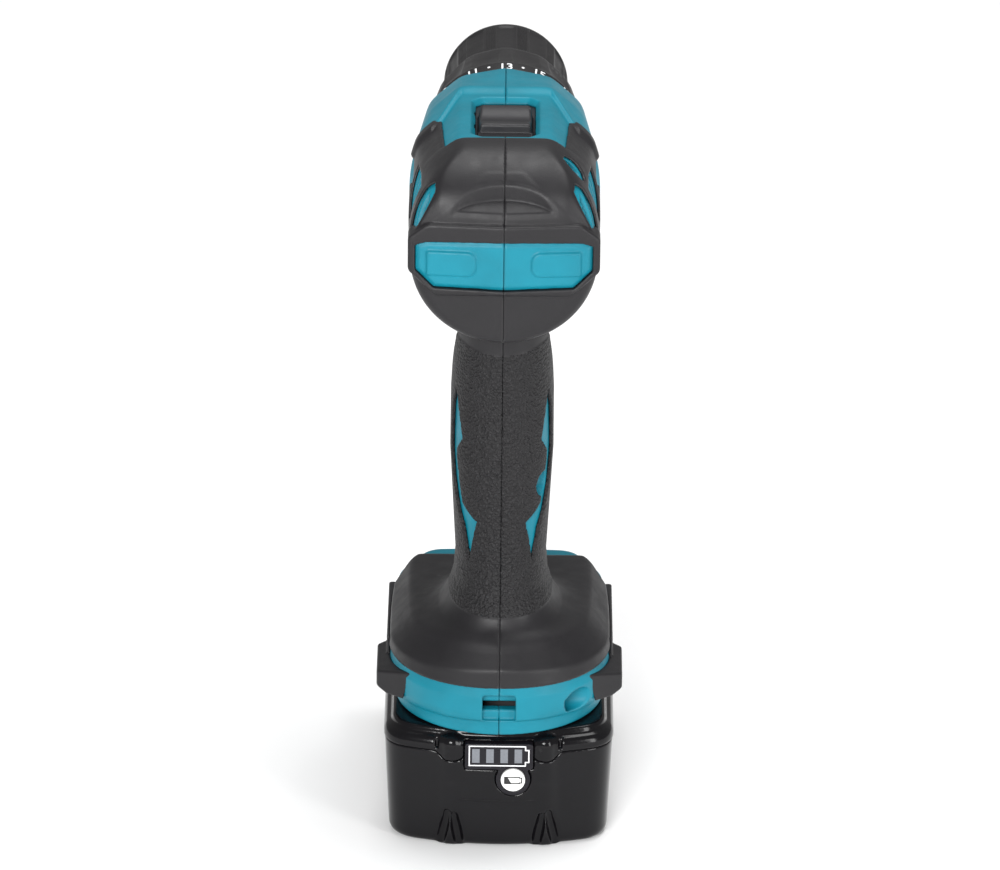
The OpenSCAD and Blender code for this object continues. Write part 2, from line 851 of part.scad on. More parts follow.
// Seat of the gauge in the rear of the case
module gauge_seat() {
    span([gauge_x[0] - 0.2, gauge_x[1] + 0.2], [-80, gauge_y[1] + 0.1], [gauge_z[0] - 0.2, gauge_z[1] + 0.2]);
    translate([gauge_button_x, gauge_y[1] + 0.1, gauge_button_z]) rotate([90, 0, 0])
        cylinder(h = 20, r = gauge_lobe_r + 0.2);
    // depth that the pressed button needs
    translate([gauge_button_x, gauge_y[1] + 1.6, gauge_button_z]) rotate([90, 0, 0])
        cylinder(h = 20, r = gauge_button_r + 0.1);
}

module battery_screw_places() {
    for (side = [-1, 1], at = battery_screw_at) translate([side * at[0], at[1], 0]) children();
}

module battery_screws() {
    color(dark_steel) battery_screw_places() {
        translate([0, 0, 0.8]) cylinder(h = 2, r = 2.1);
        cylinder(h = 36, r = 1.3);
    }
}

module battery_upper_case() {
    color(battery_black) difference() {
        union() {
            translate([0, 0, case_split]) linear_extrude(ledge_z - case_split) polygon(battery_plan(0));
            linear_extrude(foot_bottom - 0.4) intersection() {
                polygon(foot_plan(-1));
                polygon(battery_plan(-2));
            }
            span([-tongue_half_w, tongue_half_w], tongue_y, [ledge_z, tongue_z]);
        }
        span([-60, 60], [-80, 60], [-10, case_split]);
        cell_room(case_split - 1, 60);
        battery_screw_places() cylinder(h = 36.6, r = 1.4);
        // room for the board, the contacts' slots and the latch
        span([-22, 22], [-30, 28], [43, 45.6]);
        for (x = blade_x) span([x - 1, x + 1], [-46, -32], [42.6, 60]);
        for (x = blade_x) span([x - 2.4, x + 2.4], [-44, -33], [42.6, 47.6]);
        front_pocket();
        gauge_seat();
    }
}

module battery_cells() {
    color([0.30, 0.45, 0.55]) cells(0);
}

module battery_board() {
    color(board_green) {
        span([-21, 21], [-29, 27], [43.2, 44.8]);
        span([-6, 6], [-10, 2], [44.8, 45.5]);
    }
}

// Spring contacts that grip the tool's blades
module battery_terminals() {
    color(copper) for (x = blade_x, side = [-1, 1]) {
        span([x + side * 1.4 - 0.4, x + side * 1.4 + 0.4], [-43, -33.5], [43, 47]);
    }
}

button_y = [34, 42.8];

// Latch button on the battery's front, with the hook that rises into the foot
module release_button() {
    color(rubber_grey) {
        hull() {
            span([-14.8, 14.8], [button_y[0], 40], [35, 47.5]);
            span([-12.5, 12.5], [36, button_y[1]], [37, 45.5]);
        }
        span([-9, 9], [34.2, 37.2], [46, 51.4]);
    }
}

module release_spring() {
    color(steel) translate([0, 37, pocket_floor]) coil(2.6, 0.4, 4.7, 4);
}

module gauge_panel() {
    color(rubber_grey) difference() {
        union() {
            span(gauge_x, gauge_y, gauge_z);
            translate([gauge_button_x, gauge_y[1], gauge_button_z]) rotate([90, 0, 0])
                cylinder(h = gauge_y[1] - gauge_y[0], r = gauge_lobe_r);
        }
        translate([gauge_button_x, -60, gauge_button_z]) rotate([90, 0, 0])
            cylinder(h = 20, r = gauge_button_r + 0.1);
    }
}

module gauge_button() {
    color([0.92, 0.92, 0.92]) translate([gauge_button_x, gauge_y[1] + 0.4, gauge_button_z])
        rotate([90, 0, 0]) cylinder(h = 3.6, r = gauge_button_r);
}

housing_left();
housing_right();
cover_left();
cover_right();
bumper_left();
bumper_right();
housing_screws();
hook_inserts();
gear_case();
gear_case_screws();
ring_gear_1();
ring_gear_2();
carrier_1();
carrier_2();
planet_1a();
planet_1b();
planet_1c();
planet_2a();
planet_2b();
planet_2c();
rotor_core();
rotor_shaft();
cooling_fan();
rear_bearing();
front_bearing();
stator_core();
stator_windings();
sensor_board();
motor_bracket();
speed_knob();
shift_fork();
torque_ring();
clutch_nut();
clutch_spring();
clutch_balls();
clutch_washer();
spindle();
spindle_bearings();
chuck_body();
chuck_sleeve();
chuck_jaw_a();
chuck_jaw_b();
chuck_jaw_c();
switch_body();
trigger();
trigger_spring();
direction_lever();
controller_board();
work_light();
terminal_block();
battery_lower_case();
battery_upper_case();
battery_cells();
battery_board();
battery_terminals();
release_button();
release_spring();
gauge_panel();
gauge_button();
battery_screws();
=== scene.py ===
"""Looks of a compact cordless drill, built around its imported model. Shapes are in millimetres."""

import json
import math

import bmesh
import bpy
import numpy as np
import openvdb
from mathutils import Matrix, Vector


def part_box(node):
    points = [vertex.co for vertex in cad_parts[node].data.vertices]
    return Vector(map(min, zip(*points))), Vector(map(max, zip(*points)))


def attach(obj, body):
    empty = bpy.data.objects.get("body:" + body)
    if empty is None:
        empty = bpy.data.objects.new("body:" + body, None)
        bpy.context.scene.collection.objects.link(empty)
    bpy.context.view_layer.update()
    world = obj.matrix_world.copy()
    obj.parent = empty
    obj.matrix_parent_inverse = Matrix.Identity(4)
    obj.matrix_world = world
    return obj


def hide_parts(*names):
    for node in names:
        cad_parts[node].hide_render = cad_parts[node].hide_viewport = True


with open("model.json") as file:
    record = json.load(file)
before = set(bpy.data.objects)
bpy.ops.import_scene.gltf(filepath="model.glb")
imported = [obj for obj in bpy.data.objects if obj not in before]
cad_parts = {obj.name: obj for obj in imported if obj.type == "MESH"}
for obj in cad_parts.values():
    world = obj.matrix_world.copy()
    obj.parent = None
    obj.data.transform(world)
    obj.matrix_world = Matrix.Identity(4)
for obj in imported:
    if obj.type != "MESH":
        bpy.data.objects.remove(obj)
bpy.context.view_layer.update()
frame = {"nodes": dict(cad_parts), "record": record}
MM = 0.001
AXIS_Z = (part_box("chuck_body")[0].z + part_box("chuck_body")[1].z) / 2 / MM


def node_box(name):
    """Lowest and highest corner of a frame node, in millimetres."""
    low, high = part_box(name)
    return np.array(low) / MM, np.array(high) / MM


# ---------------------------------------------------------------- signed distance tools

def smax(a, b, k):
    """Largest of two fields, with an edge rounded over k."""
    h = np.clip(0.5 + 0.5 * (a - b) / k, 0, 1)
    return b * (1 - h) + a * h + k * h * (1 - h)


def smin(a, b, k):
    """Smallest of two fields, with an inner corner rounded over k."""
    return -smax(-a, -b, k)


def both(k, *fields):
    """Intersection of fields, with edges rounded over k."""
    d = fields[0]
    for f in fields[1:]:
        d = smax(d, f, k)
    return d


def ramp(t):
    """Smooth step from 0 to 1."""
    t = np.clip(t, 0, 1)
    return t * t * (3 - 2 * t)


def soft_plus(u, k):
    """Zero below zero and u above it, with a bend rounded over k."""
    return 0.5 * (u + np.sqrt(u * u + k * k))


def box(p, low, high, r=0.0):
    """Box between two corners with rounded edges."""
    low, high = np.asarray(low, float), np.asarray(high, float)
    q = np.abs(p - ((low + high) / 2)[:, None]) - ((high - low) / 2 - r)[:, None]
    return np.sqrt((np.maximum(q, 0) ** 2).sum(0)) + np.minimum(q.max(0), 0) - r


def rod(p, start, end, r):
    """Round-ended rod between two points."""
    a, b = np.asarray(start, float), np.asarray(end, float)
    q = p - a[:, None]
    t = np.clip((q * (b - a)[:, None]).sum(0) / ((b - a) ** 2).sum(), 0, 1)
    return np.sqrt(((q - (b - a)[:, None] * t) ** 2).sum(0)) - r


def outline(u, v, points):
    """Signed distance to a closed polygon in the u, v plane."""
    d = np.full(u.shape, 1e9)
    inside = np.zeros(u.shape, bool)
    for (au, av), (bu, bv) in zip(points, points[1:] + points[:1]):
        eu, ev = bu - au, bv - av
        t = np.clip(((u - au) * eu + (v - av) * ev) / (eu * eu + ev * ev), 0, 1)
        d = np.minimum(d, (u - au - eu * t) ** 2 + (v - av - ev * t) ** 2)
        if ev:
            inside ^= ((av > v) != (bv > v)) & (u < au + eu * (v - av) / ev)
    d = np.sqrt(d)
    return np.where(inside, -d, d)


def superellipse(u, v, a, b, power):
    """Radial distance to a superellipse of half sizes a and b."""
    rho = ((np.abs(u) / a) ** power + (np.abs(v) / b) ** power) ** (1 / power)
    reach = np.sqrt(u * u + v * v)
    return np.where(rho > 0.05, reach * (1 - 1 / np.maximum(rho, 0.05)), -np.minimum(a, b))


BLOCK = 8


def sample(field, low, high, step):
    """Samples a field on a grid, in full only in the blocks that its surface may cross."""
    low, high = np.asarray(low, float), np.asarray(high, float)
    count = np.ceil((high - low) / (step * BLOCK)).astype(int)
    axes = [low[i] + (np.arange(count[i]) + 0.5) * step * BLOCK for i in range(3)]
    centres = np.stack(np.meshgrid(*axes, indexing="ij")).reshape(3, -1)
    middle = field(centres)
    far = 3 * step
    grid = np.where(middle < 0, -far, far).astype(np.float32)
    grid = np.repeat(grid, BLOCK ** 3).reshape(*count, BLOCK, BLOCK, BLOCK)
    keep = np.flatnonzero(np.abs(middle) < BLOCK * step * 1.35 + step)
    offsets = (np.arange(BLOCK) + 0.5 - BLOCK / 2) * step
    cell = np.stack(np.meshgrid(offsets, offsets, offsets, indexing="ij")).reshape(3, -1)
    flat = grid.reshape(-1, BLOCK ** 3)
    for chunk in np.array_split(keep, max(1, len(keep) // 1500)):
        points = (centres[:, chunk, None] + cell[:, None, :]).reshape(3, -1)
        flat[chunk] = np.clip(field(points), -far, far).reshape(len(chunk), -1)
    grid = flat.reshape(*count, BLOCK, BLOCK, BLOCK).transpose(0, 3, 1, 4, 2, 5)
    return grid.reshape(count * BLOCK), low + step / 2


def settle(field, v, step):
    """Moves surface points onto the field's zero."""
    h = 0.04
    for _ in range(2):
        d = field(v)
        g = np.stack([field(v + h * e) - field(v - h * e) for e in np.eye(3)[:, :, None]]) / (2 * h)
        v = v - g * np.clip(d / np.maximum((g * g).sum(0), 0.2), -0.6 * step, 0.6 * step)
    return v


def mesh_from(name, points, polygons):
    """Smooth mesh object from points in millimetres and lists of faces."""
    mesh = bpy.data.meshes.new(name)
    sizes = [np.full(len(f), f.shape[1], np.int32) for f in polygons if len(f)]
    corners = np.concatenate([f.reshape(-1) for f in polygons if len(f)]).astype(np.int32)
    sizes = np.concatenate(sizes)
    mesh.vertices.add(len(points))
    mesh.vertices.foreach_set("co", (np.asarray(points, np.float32) * MM).reshape(-1))
    mesh.loops.add(len(corners))
    mesh.loops.foreach_set("vertex_index", corners)
    mesh.polygons.add(len(sizes))
    starts = np.concatenate([[0], np.cumsum(sizes)[:-1]]).astype(np.int32)
    mesh.polygons.foreach_set("loop_start", starts)
    mesh.polygons.foreach_set("use_smooth", np.ones(len(sizes), bool))
    mesh.update(calc_edges=True)
    mesh.validate()
    piece = bpy.data.objects.new(name, mesh)
    bpy.context.scene.collection.objects.link(piece)
    return piece


def sculpt(name, field, low, high, step):
    """Meshes a signed distance field."""
    grid_values, origin = sample(field, low, high, step)
    grid = openvdb.FloatGrid(background=3 * step)
    grid.copyFromArray(grid_values)
    points, tris, quads = grid.convertToPolygons(isovalue=0.0, adaptivity=0.0)
    points = settle(field, points.T.astype(float) * step + origin[:, None], step).T
    tris, quads = np.asarray(tris, np.int64), np.asarray(quads, np.int64)
    corners = quads if len(quads) else tris
    a, b, c = (points[corners[:, i]] for i in range(3))
    normal = np.cross(b - a, c - a)
    middle = (a + b + c) / 3
    outward = field((middle + 0.2 * normal / np.maximum(np.linalg.norm(normal, axis=1), 1e-9)[:, None]).T)
    if (outward > 0).mean() < 0.5:
        tris, quads = tris[:, ::-1], quads[:, ::-1]
    return mesh_from(name, points, [tris, quads])


def turned(name, profile, count, shape=None):
    """Solid turned round the spindle axis from a closed profile of (y, r), with r reshaped by angle.
    Angle 0 is straight up and grows towards +X."""
    profile = np.asarray(profile, float)
    angle = np.arange(count) * 2 * math.pi / count
    y = np.repeat(profile[:, 0][None, :], count, 0)
    r = np.repeat(profile[:, 1][None, :], count, 0)
    if shape:
        r = shape(angle[:, None], y, r)
    points = np.stack([r * np.sin(angle)[:, None], y, AXIS_Z + r * np.cos(angle)[:, None]], -1)
    n = len(profile)
    i, j = np.meshgrid(np.arange(count), np.arange(n), indexing="ij")
    ii, jj = (i + 1) % count, (j + 1) % n
    quads = np.stack([i * n + j, i * n + jj, ii * n + jj, ii * n + j], -1).reshape(-1, 4)
    return mesh_from(name, points.reshape(-1, 3), [quads])


def dense(profile, step):
    """Closed profile with points added so that none is further than step from the next."""
    out = []
    for a, b in zip(profile, profile[1:] + profile[:1]):
        a, b = np.array(a, float), np.array(b, float)
        n = max(1, int(math.ceil(np.linalg.norm(b - a) / step)))
        out += [tuple(a + (b - a) * i / n) for i in range(n)]
    return out


def rounded(profile, r, parts=4):
    """Closed profile with its corners cut to arcs of about radius r."""
    pts = [np.array(q, float) for q in profile]
    out = []
    for before, here, after in zip(pts[-1:] + pts[:-1], pts, pts[1:] + pts[:1]):
        u, v = before - here, after - here
        lu, lv = np.linalg.norm(u), np.linalg.norm(v)
        cut = min(r, lu * 0.45, lv * 0.45)
        a, b = here + u / lu * cut, here + v / lv * cut
        for t in np.linspace(0, 1, parts + 1):
            out.append(tuple((1 - t) ** 2 * a + 2 * t * (1 - t) * here + t * t * b))
    return out


# ---------------------------------------------------------------- the drill's outer form

HEAD_FRONT = 20.6
HEAD_REAR = -79.4
# Head stations along Y: half width, depth below the axis, roundness
HEAD_Y = [-80, -66, -46, -26, -8, 8, 21]
HEAD_HALF = [28.9, 29.3, 29.8, 29.8, 28.6, 27.2, 26.2]
HEAD_DOWN = [28.8, 28.7, 28.4, 27.8, 27.0, 26.0, 25.6]
HEAD_POWER = [2.1, 2.2, 2.35, 2.45, 2.4, 2.3, 2.15]
TOP_RISE = 29.8
TOP_SLOPE = 0.045
TOP_TURN_Y = -54
TOP_TURN = 26.7
COLLAR_RISE = 1.2

# Grip stations along Z: middle, half depth, half width, roundness
GRIP_Z = [56, 66, 70, 75, 80, 86, 94, 110, 130, 150, 168, 192, 200]
GRIP_MID = [-37, -37, -37.2, -37.8, -38, -37.8, -37.4, -37, -36, -34.5, -33.5, -33, -33]
GRIP_DEPTH = [36, 32, 29.2, 26.3, 24.2, 22.2, 20.9, 20.1, 20.5, 20.2, 20.9, 22.5, 23]
GRIP_HALF = [34, 28, 23.5, 19.6, 17.0, 15.2, 14.6, 15.5, 16.6, 16.5, 15.6, 16.0, 16]
GRIP_POWER = [2.6, 2.4, 2.4, 2.4, 2.35, 2.3, 2.3, 2.3, 2.3, 2.3, 2.3, 2.3, 2.3]

# The bumper's rear face is bowed forward by this much per millimetre of half width
BUMPER_BOW = 0.085

FOOT_BOTTOM = 41.6
FOOT_EDGE = 64.5
FOOT_FRONT = 22.6
FOOT_ARC_Y = -38
FOOT_ARC_R = 35.2


def head(p):
    """Motor head with its flat top panel, rounded rear and raised collar."""
    x, y, z = np.abs(p[0]), p[1], p[2] - AXIS_Z
    half, down, power = (np.interp(y, HEAD_Y, t) for t in (HEAD_HALF, HEAD_DOWN, HEAD_POWER))
    side = superellipse(x, z, half, np.where(z > 0, half + 3, down), power)
    # the top panel, its side facets, and the way they turn down at the rear
    panel = np.interp(y, [-76, -50, 20], [20, 15.2, 14.2])
    over = soft_plus(x - panel, 1.2)
    lean = 0.9 * 0.5 * (1 + (x - panel) / np.sqrt((x - panel) ** 2 + 1.44))
    front_fall = np.clip((y + 1) / 21.6, 0, 1) * (0.19 * np.minimum(x, 15) + 0.9)
    height = np.maximum(z + TOP_SLOPE * (y - TOP_TURN_Y) + 0.9 * over - 0.1 + front_fall, 0)
    back = np.maximum(TOP_TURN_Y - y, 0)
    cap = (np.sqrt((height / TOP_RISE) ** 2 + (back / TOP_TURN) ** 2) - 1) * 28 / np.sqrt(1 + lean ** 2)
    d = smax(side, cap, 1.0)
    # the raised collar behind the torque ring, with its edge swept back down the sides
    edge = np.maximum(-4.2 - 2.4 * np.maximum(x - panel, 0), -26)
    rise = ramp((y - edge) / 5 + 0.5)
    d = d - COLLAR_RISE * rise * ramp((z + 24) / 20)
    d = smax(d, HEAD_REAR + BUMPER_BOW * x - y, 5.0)
    d = smax(d, -rear_shelf(p), 0.4)
    return smax(d, y - HEAD_FRONT, 0.8)


def rear_shelf(p):
    """Arched notch over the bumper: the space above a sloping shelf, behind a curved wall."""
    x, y, z = np.abs(p[0]), p[1], p[2] - AXIS_Z
    shelf = (z - 12.2 - (y + 80.6) * 0.625) * 0.848
    wall = y + 81.2 - 8.6 * np.sqrt(np.maximum(1 - (x / 18.4) ** 2, 0))
    return both(0.4, -shelf, wall)


def grip(p):
    """Oval handle lofted through the grip stations."""
    z = p[2]
    mid, depth, half, power = (np.interp(z, GRIP_Z, t) for t in (GRIP_MID, GRIP_DEPTH, GRIP_HALF, GRIP_POWER))
    d = superellipse(p[0], p[1] - mid, half - 1, depth - 1, power)
    return both(3, d, z - 200, 50 - z)


def foot_corner(x, y):
    """Distance from the slanted wall that cuts the foot's front corners."""
    return (x - 33.6) * 0.81 + (y - 11) * 0.585


def foot(p):
    """Flared foot that holds the battery: its plan, the facets above it and the stepped rear band."""
    x, y, z = np.abs(p[0]), p[1], p[2]
    arc = np.sqrt(x * x + np.minimum(y - FOOT_ARC_Y, 0) ** 2) - FOOT_ARC_R
    wall_side = (x - 35.2) * 0.998 + (y + 15) * 0.055
    front = y - FOOT_FRONT
    plan = np.where(y < FOOT_ARC_Y, arc, smax(arc, wall_side, 0.6))
    plan = smax(smax(plan, foot_corner(x, y), 2.5), front, 3)
    # the skirt's facets rise from the edge to the grip
    up = z - FOOT_EDGE
    rear = plan * 0.73 + up * 0.68 + 0.045 * (x - 6)
    side = (x - 35.4) * 0.66 + up * 0.75
    nose = (y - 22) * 0.04 + up - 3.6
    lip = front * 0.70 + (z - 67.4) * 0.70
    skirt = both(1.6, rear, side, nose)
    d = both(0.7, plan, skirt, lip)
    # the lower edge of the rear band steps in
    d = smax(d, plan + 1.3 * ramp((48.2 - z - 0.0009 * x * x) / 1.6) - 0.02, 0.6)
    return smax(d, FOOT_BOTTOM - z, 1.0)


def bridge(p):
    """Block under the head that carries the trigger, the lever and the light."""
    x, y, z = np.abs(p[0]), p[1], p[2]
    flare = 14.8 + np.maximum(z - 180, 0) * 0.28
    nose = y - 7.5 - np.maximum(z - 181, 0) * 0.55
    return both(2.5, x - flare, nose, -36 - y, 177.4 - z, z - 200)


def body(p):
    """The hard housing's outside."""
    d = smin(head(p), bridge(p), 4)
    d = smin(d, grip(p), 6)
    return smin(d, foot(p), 7)


# Places of the clamshell screws, as (y, z)
SCREWS = [(-67, AXIS_Z + 24.6), (8, AXIS_Z - 25.2), (-28, 118), (-30, 96), (-58, 52.5), (15, 54.7)]
SHELL = 2.2
SEAM = 0.06
SELECTOR_X = 9.4
SELECTOR_Y = (-46.3, -10.5)


def selector_recess(p):
    """Window of the speed selector with bevelled edges and cut corners."""
    x, y, z = np.abs(p[0]), p[1], p[2]
    mid, half = sum(SELECTOR_Y) / 2, (SELECTOR_Y[1] - SELECTOR_Y[0]) / 2
    u, v = x - SELECTOR_X, np.abs(y - mid) - half
    plan = both(0.5, u, v, (u + v) * 0.7071 + 1.7)
    surface = AXIS_Z + 28.6 - TOP_SLOPE * (y - TOP_TURN_Y)
    bevel = 0.75 * np.clip(z - surface + 1.0, 0, 3)
    return smax(plan - bevel - 0.15, AXIS_Z + 20 - z, 0.3)


def side_slots(p):
    """Slanted slots of the air vents, which run round the head's sides."""
    x, y, z = np.abs(p[0]), p[1], p[2] - AXIS_Z
    along = y * 0.94 - z * 0.34
    pitch = 4.2
    slot = np.abs((along % pitch) - pitch / 2) - 0.95
    zone = outline(y, z, [(-77, -14), (-76, 16), (-68, 21.5), (-36, 19), (-34, -6), (-44, -14)])
    return both(0.4, slot, zone + 0.6, 20 - x)


def cavity(p):
    """Rooms open to the outside: battery channel, trigger, light, lever and rear window."""
    d = box(p, (-25.6, -56, 20), (25.6, 60, 50), 0.6)
    d = np.minimum(d, box(p, (-9.3, -24, 149.5), (9.3, 30, 177.8), 1.2))
    d = np.minimum(d, box(p, (-8.8, 4.8, 180.2), (8.8, 40, 185.2), 0.8))
    d = np.minimum(d, box(p, (-40, -17.6, 178.7), (40, 1.2, 186.4), 1.0))
    d = np.minimum(d, box(p, (-5.4, -90, 47.2), (5.4, -60, 56.7), 1.0))
    inserts = np.sqrt((p[1] + 6) ** 2 + (p[2] - 58) ** 2) - 3.52
    return np.minimum(d, np.maximum(inserts, 26 - np.abs(p[0])))


# Screw wells that open on the right hand side, and those of them that pass through the rubber
WELLS = [SCREWS[1], SCREWS[2], SCREWS[3], SCREWS[5]]
HEAD_WELL = ((12, -60.6, AXIS_Z + 23.7), (45, -60.6, AXIS_Z + 23.7), 2.9)
# Troughs that lead to the screws at the foot's and the grip's corner: inner end, y, z and radius
FOOT_TROUGH = (21.6, -64.3, 51.5, 4.0)
GRIP_TROUGH = (13.2, -48.2, 121.4, 4.2)


def wells(p):
    """Round wells over the screw heads."""
    d = np.maximum(rod(p, *HEAD_WELL), 14 - p[0])
    for y, z in WELLS:
        d = np.minimum(d, np.maximum(np.sqrt((p[1] - y) ** 2 + (p[2] - z) ** 2) - 3.1, 11.4 - p[0]))
    return d


def trough(p, place, grow=0.0):
    """Round groove that runs out to the right."""
    x, y, z, r = place
    return rod(p, (x, y, z), (x + 40, y, z), r + grow)


def window_bars(p):
    """Ribs that stand inside the foot's rear window."""
    upper = box(p, (-7, -70.6, 53.2), (7, -67.6, 59.5), 0.8)
    lower = box(p, (-7, -71.4, 45), (7, -67.6, 50.6), 0.6)
    return np.minimum(upper, lower)


def housing(p, side):
    """One half of the hard shell, with its openings, screw wells and rear pads."""
    outer = body(p)
    d = smax(outer, -(outer + SHELL), 0.3)
    if side > 0:
        bosses = np.minimum(trough(p, FOOT_TROUGH, 2.0), trough(p, GRIP_TROUGH, 1.8))
        d = np.minimum(d, smax(outer, bosses, 0.3))
    d = smax(d, -selector_recess(p), 0.3)
    d = smax(d, -cavity(p), 0.5)
    d = smax(d, -side_slots(p), 0.4)
    d = np.minimum(d, window_bars(p))
    if side > 0:
        d = smax(d, -np.minimum(trough(p, FOOT_TROUGH), trough(p, GRIP_TROUGH)), 0.5)
        d = smax(d, -wells(p), 0.5)
    d = np.minimum(d, rear_pad(p))
    # the halves meet inside the wall, and stand a hair apart at its surface
    gap = SEAM * ramp((outer + 1.6) / 0.8)
    return smax(d, gap - side * p[0], 0.3)


# ---------------------------------------------------------------- rear bumper

BUMPER_Z = AXIS_Z - 2.0
BUMPER_REAR = -80.8
PAD_HALF = 28.2
RIM_HALF = 30.6
# How far the rubber stands above the hard housing
RUBBER = 1.0


def bumper_plan(x, z, grow):
    """Octagon of the rear bumper's insert, seen from behind."""
    u, v = np.abs(x), z - BUMPER_Z
    side = u - PAD_HALF - grow
    top = v + 0.02 * u - 7.9 - grow
    bottom = -v + 0.02 * u - 8.5 - grow
    upper = ((u - PAD_HALF) * 0.33 + (v - 6.2) * 0.944) - grow
    lower = ((u - PAD_HALF) * 0.707 + (-v - 2.2) * 0.707) - grow
    return both(0.5, side, top, bottom, upper, lower)


def rear_pad(p):
    """Hard pads that show through the bumper, each with a raised field."""
    x, y, z = p[0], p[1], p[2]
    u = np.abs(x)
    plan = bumper_plan(x, z, 0)
    face = BUMPER_REAR + BUMPER_BOW * u + 0.75 - 0.55 * ramp((-plan - 0.3) / 1.3)
    v = z - BUMPER_Z - 0.3
    above, inward = np.abs(v) - 4.3, 8.6 - u
    field = both(0.8, above, inward, u - 24.8, inward * 0.707 + above * 0.707 + 1.3)
    face = face - 0.85 * ramp(-field / 0.8 + 0.2)
    return both(0.3, plan, face - y, y + 76.5)


def bumper_rim(p):
    """Rubber block round the pads, with a ledge on top that meets the rounded rear."""
    x, y, z = p[0], p[1], p[2]
    u, v = np.abs(x), z - BUMPER_Z
    side = u - RIM_HALF
    upper = (u - RIM_HALF) * 0.62 + (v - 8.6) * 0.785
    lower = (u - RIM_HALF) * 0.66 + (-v - 2.6) * 0.75
    # on top it ends in a ledge, above which it only follows the head
    ledge = np.minimum(v - 13.4, head(p) - RUBBER)
    chin = (-v - 9.9) * 0.94 - (y + 81) * 0.34
    plan = both(1.0, side, upper, lower)
    rear = BUMPER_REAR - 0.4 + BUMPER_BOW * u - y
    front = y + 70
    d = both(0.9, plan, ledge, chin, rear, front)
    return smax(d, -rear_shelf(p), 0.4)


# ---------------------------------------------------------------- rubber cover

# Side view outlines as (y, z - AXIS_Z) for the head and (y, z) for the grip
HEAD_COVER = [
    (-51.8, 40), (-51.8, 27.6), (-50.4, 26.6), (-19, 23.6), (-19.6, 16.5), (-23, 13.2), (-42, 12.8),
    (-44.5, 8.5), (-33, 7.5), (-30, -4), (-36, -12), (-47, -20), (-49, -34), (-52, -48), (-95, -48), (-95, 40)
]
WINDOW_FRONT = [(-43.5, 17.4), (-53, 18.4), (-62.5, 17.4), (-60.5, 6), (-50, 2), (-46.5, 9)]
WINDOW_REAR = [(-68.3, 19.5), (-70.6, 22.4), (-76.6, 18.5), (-77.2, 9), (-72, -8), (-65, -10), (-67, 6)]
GRIP_COVER = [
    (-100, 174), (-50, 174), (-41, 171.5), (-31, 152), (-8, 148.5), (-8, 84), (4, 74), (11.5, 69), (12, 59.6),
    (-50, 59.4), (-100, 59.4)
]
STRIP = [
    (-44.6, 153), (-49.6, 137.2), (-46.8, 132.6), (-48.2, 124), (-50, 115), (-54.9, 110), (-53.4, 95.8),
    (-50.6, 107), (-47.6, 112), (-43.5, 122), (-41.5, 136), (-42, 146)
]
TEXTURE_TOP = 168.2
TEXTURE_BOTTOM = 79.2


def grip_texture(p):
    """Negative inside the grip's grained field."""
    drop = 0.055 * (p[1] + 55)
    top = p[2] - TEXTURE_TOP - np.clip(0.0105 * p[0] ** 2, 0, 4)
    bottom = TEXTURE_BOTTOM + 0.004 * p[0] ** 2 - drop * 0.02 - p[2]
    return np.maximum(top, bottom)


def cover_zone(p):
    """Negative where rubber lies over the housing, seen from the side."""
    x, y, z = np.abs(p[0]), p[1], p[2]
    on_head = outline(y, z - AXIS_Z, HEAD_COVER)
    front = outline(y, z - AXIS_Z, WINDOW_FRONT)
    rear = outline(y, z - AXIS_Z, WINDOW_REAR)
    # the rear window keeps clear of the rounded back
    rear = np.maximum(rear, 21.4 + 0.52 * (21.8 - (z - AXIS_Z)) - x)
    windows = np.maximum(np.minimum(front, rear), 16 - x)
    on_head = smax(on_head, -windows, 0.5)
    on_grip = outline(y, z, GRIP_COVER)
    strip = np.maximum(outline(y, z, STRIP), 3 - x)
    on_grip = smax(on_grip, -strip, 0.4)
    # the bare front lip of the foot goes round its corners
    on_grip = np.maximum(on_grip, np.where(z < 72, foot_corner(x, y) + 4.6, on_grip))
    return np.minimum(on_head, on_grip)


def cover(p, side):
    """One half of the soft cover, with the rim round the rear pads."""
    outer = body(p)
    thick = RUBBER + 0.22 * ramp(-grip_texture(p) / 0.5 + 0.5)
    skin = smax(outer - thick, -(outer - 0.03), 0.1)
    d = smax(skin, cover_zone(p), 0.7)
    rim = smax(bumper_rim(p), -(outer - 0.03), 0.1)
    d = smin(d, rim, 0.6)
    d = smax(d, -both(0.3, bumper_plan(p[0], p[2], 0.1), p[1] + 70), 0.3)
    d = smax(d, -(cavity(p) - 0.1), 0.5)
    if side > 0:
        d = smax(d, -np.minimum(wells(p) - 0.9, trough(p, GRIP_TROUGH, 0.1)), 0.5)
    return smax(d, -side * p[0], 0.12)


def side_bumper(p, side):
    """Rubber block on the foot's rear corner, with a rail that runs forward from it."""
    x, y, z = side * p[0], p[1], p[2]
    top = z - 58.2 + 0.29 * (x - 29)
    corner = 0.615 * x - 0.788 * y - 65.3
    inner_edge = 29 + 0.24 * (58.2 - z) - x
    bottom = 47.9 - z + 0.5 * np.maximum(x - 37, 0)
    block = both(0.8, x - 40.2, corner, top, bottom, y + 30 - 0.4 * (40 - x), -61.5 - y)
    block = np.maximum(block, inner_edge)
    rail = both(0.8, x - 37.0 - 0.02 * (z - 58), y - 8, z - 60.8 + 0.04 * y, 51 - z, -40 - y)
    inner = foot(p) - RUBBER - 0.06
    return both(0.4, smin(block, rail, 0.8), -inner, 27 - x)


# ---------------------------------------------------------------- battery

